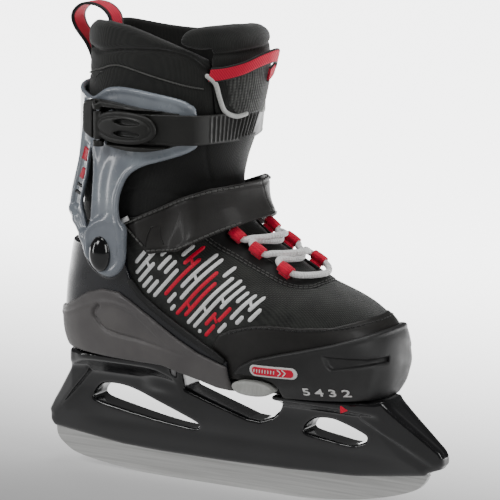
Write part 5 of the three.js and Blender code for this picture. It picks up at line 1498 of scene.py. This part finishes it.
# ---------------------------------------------------------------- metal parts and a few that stay as built
for name in ("heel_bolt", "heel_bolt_washer", "heel_bolt_nut", "toe_bolt", "toe_bolt_washer", "toe_bolt_nut",
             "size_button_spring", "buckle_lever_pin", "buckle_rivet_lower", "buckle_rivet_upper",
             "ladder_strap_rivet"):
    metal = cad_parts[name]
    metal.data.materials.clear()
    metal.data.materials.append(MATERIALS["zinc"])


# ---------------------------------------------------------------- floor, light and finish
def soft_light(name, place, aim, size, power):
    data = bpy.data.lights.new(name, "AREA")
    data.shape, data.size, data.size_y, data.energy = "RECTANGLE", size[0], size[1], power
    lamp = bpy.data.objects.new(name, data)
    bpy.context.scene.collection.objects.link(lamp)
    lamp.location = place
    lamp.rotation_euler = (Vector(aim) - Vector(place)).to_track_quat("-Z", "Y").to_euler()
    return lamp


world = bpy.data.worlds.new("studio")
bpy.context.scene.world = world
world.use_nodes = True
world.node_tree.nodes["Background"].inputs["Color"].default_value = (1, 1, 1, 1)
world.node_tree.nodes["Background"].inputs["Strength"].default_value = 0.1
floor = mesh_object("floor", [(-6, -4, 0), (6, -4, 0), (6, 8, 0), (-6, 8, 0)], [[0, 1, 2, 3]], smooth=False)
floor.location.z = -0.0002
floor_look, floor_tree, floor_shader, floor_place = material("white_studio_paper_lit_from_behind", 0.9)
floor_shader.inputs["Base Color"].default_value = srgb("#b4b4b4")
floor_shader.inputs["Emission Color"].default_value = (1, 1, 1, 1)
# The paper glows behind the skate and fades out in front of it.
depth = node(floor_tree, "SeparateXYZ", Vector=floor_place).outputs["Y"]
glow = node(floor_tree, "MapRange", {"interpolation_type": "SMOOTHSTEP"}, Value=depth, From_Min=-0.16,
            From_Max=0.8, To_Min=0.05, To_Max=5.0).outputs["Result"]
floor_tree.links.new(glow, floor_shader.inputs["Emission Strength"])
floor.data.materials.append(floor_look)
# Each lamp: its name, place, aim, size and power in watts.
LAMPS = [
    ("key_left_high", (-0.9, -1.5, 1.6), (0, 0, 0.15), (0.7, 0.7), 14),
    ("strip_left", (-1.3, -0.9, 0.35), (-0.05, 0, 0.15), (0.15, 1.3), 5),
    ("fill_right", (1.9, -0.9, 0.9), (0, 0, 0.15), (0.5, 1.4), 12),
    ("top", (0.2, 0.1, 1.9), (0.03, 0, 0.12), (1.0, 1.0), 16)]
for lamp in LAMPS:
    soft_light(*lamp)

# ---------------------------------------------------------------- last update of the scene
bpy.context.view_layer.update()
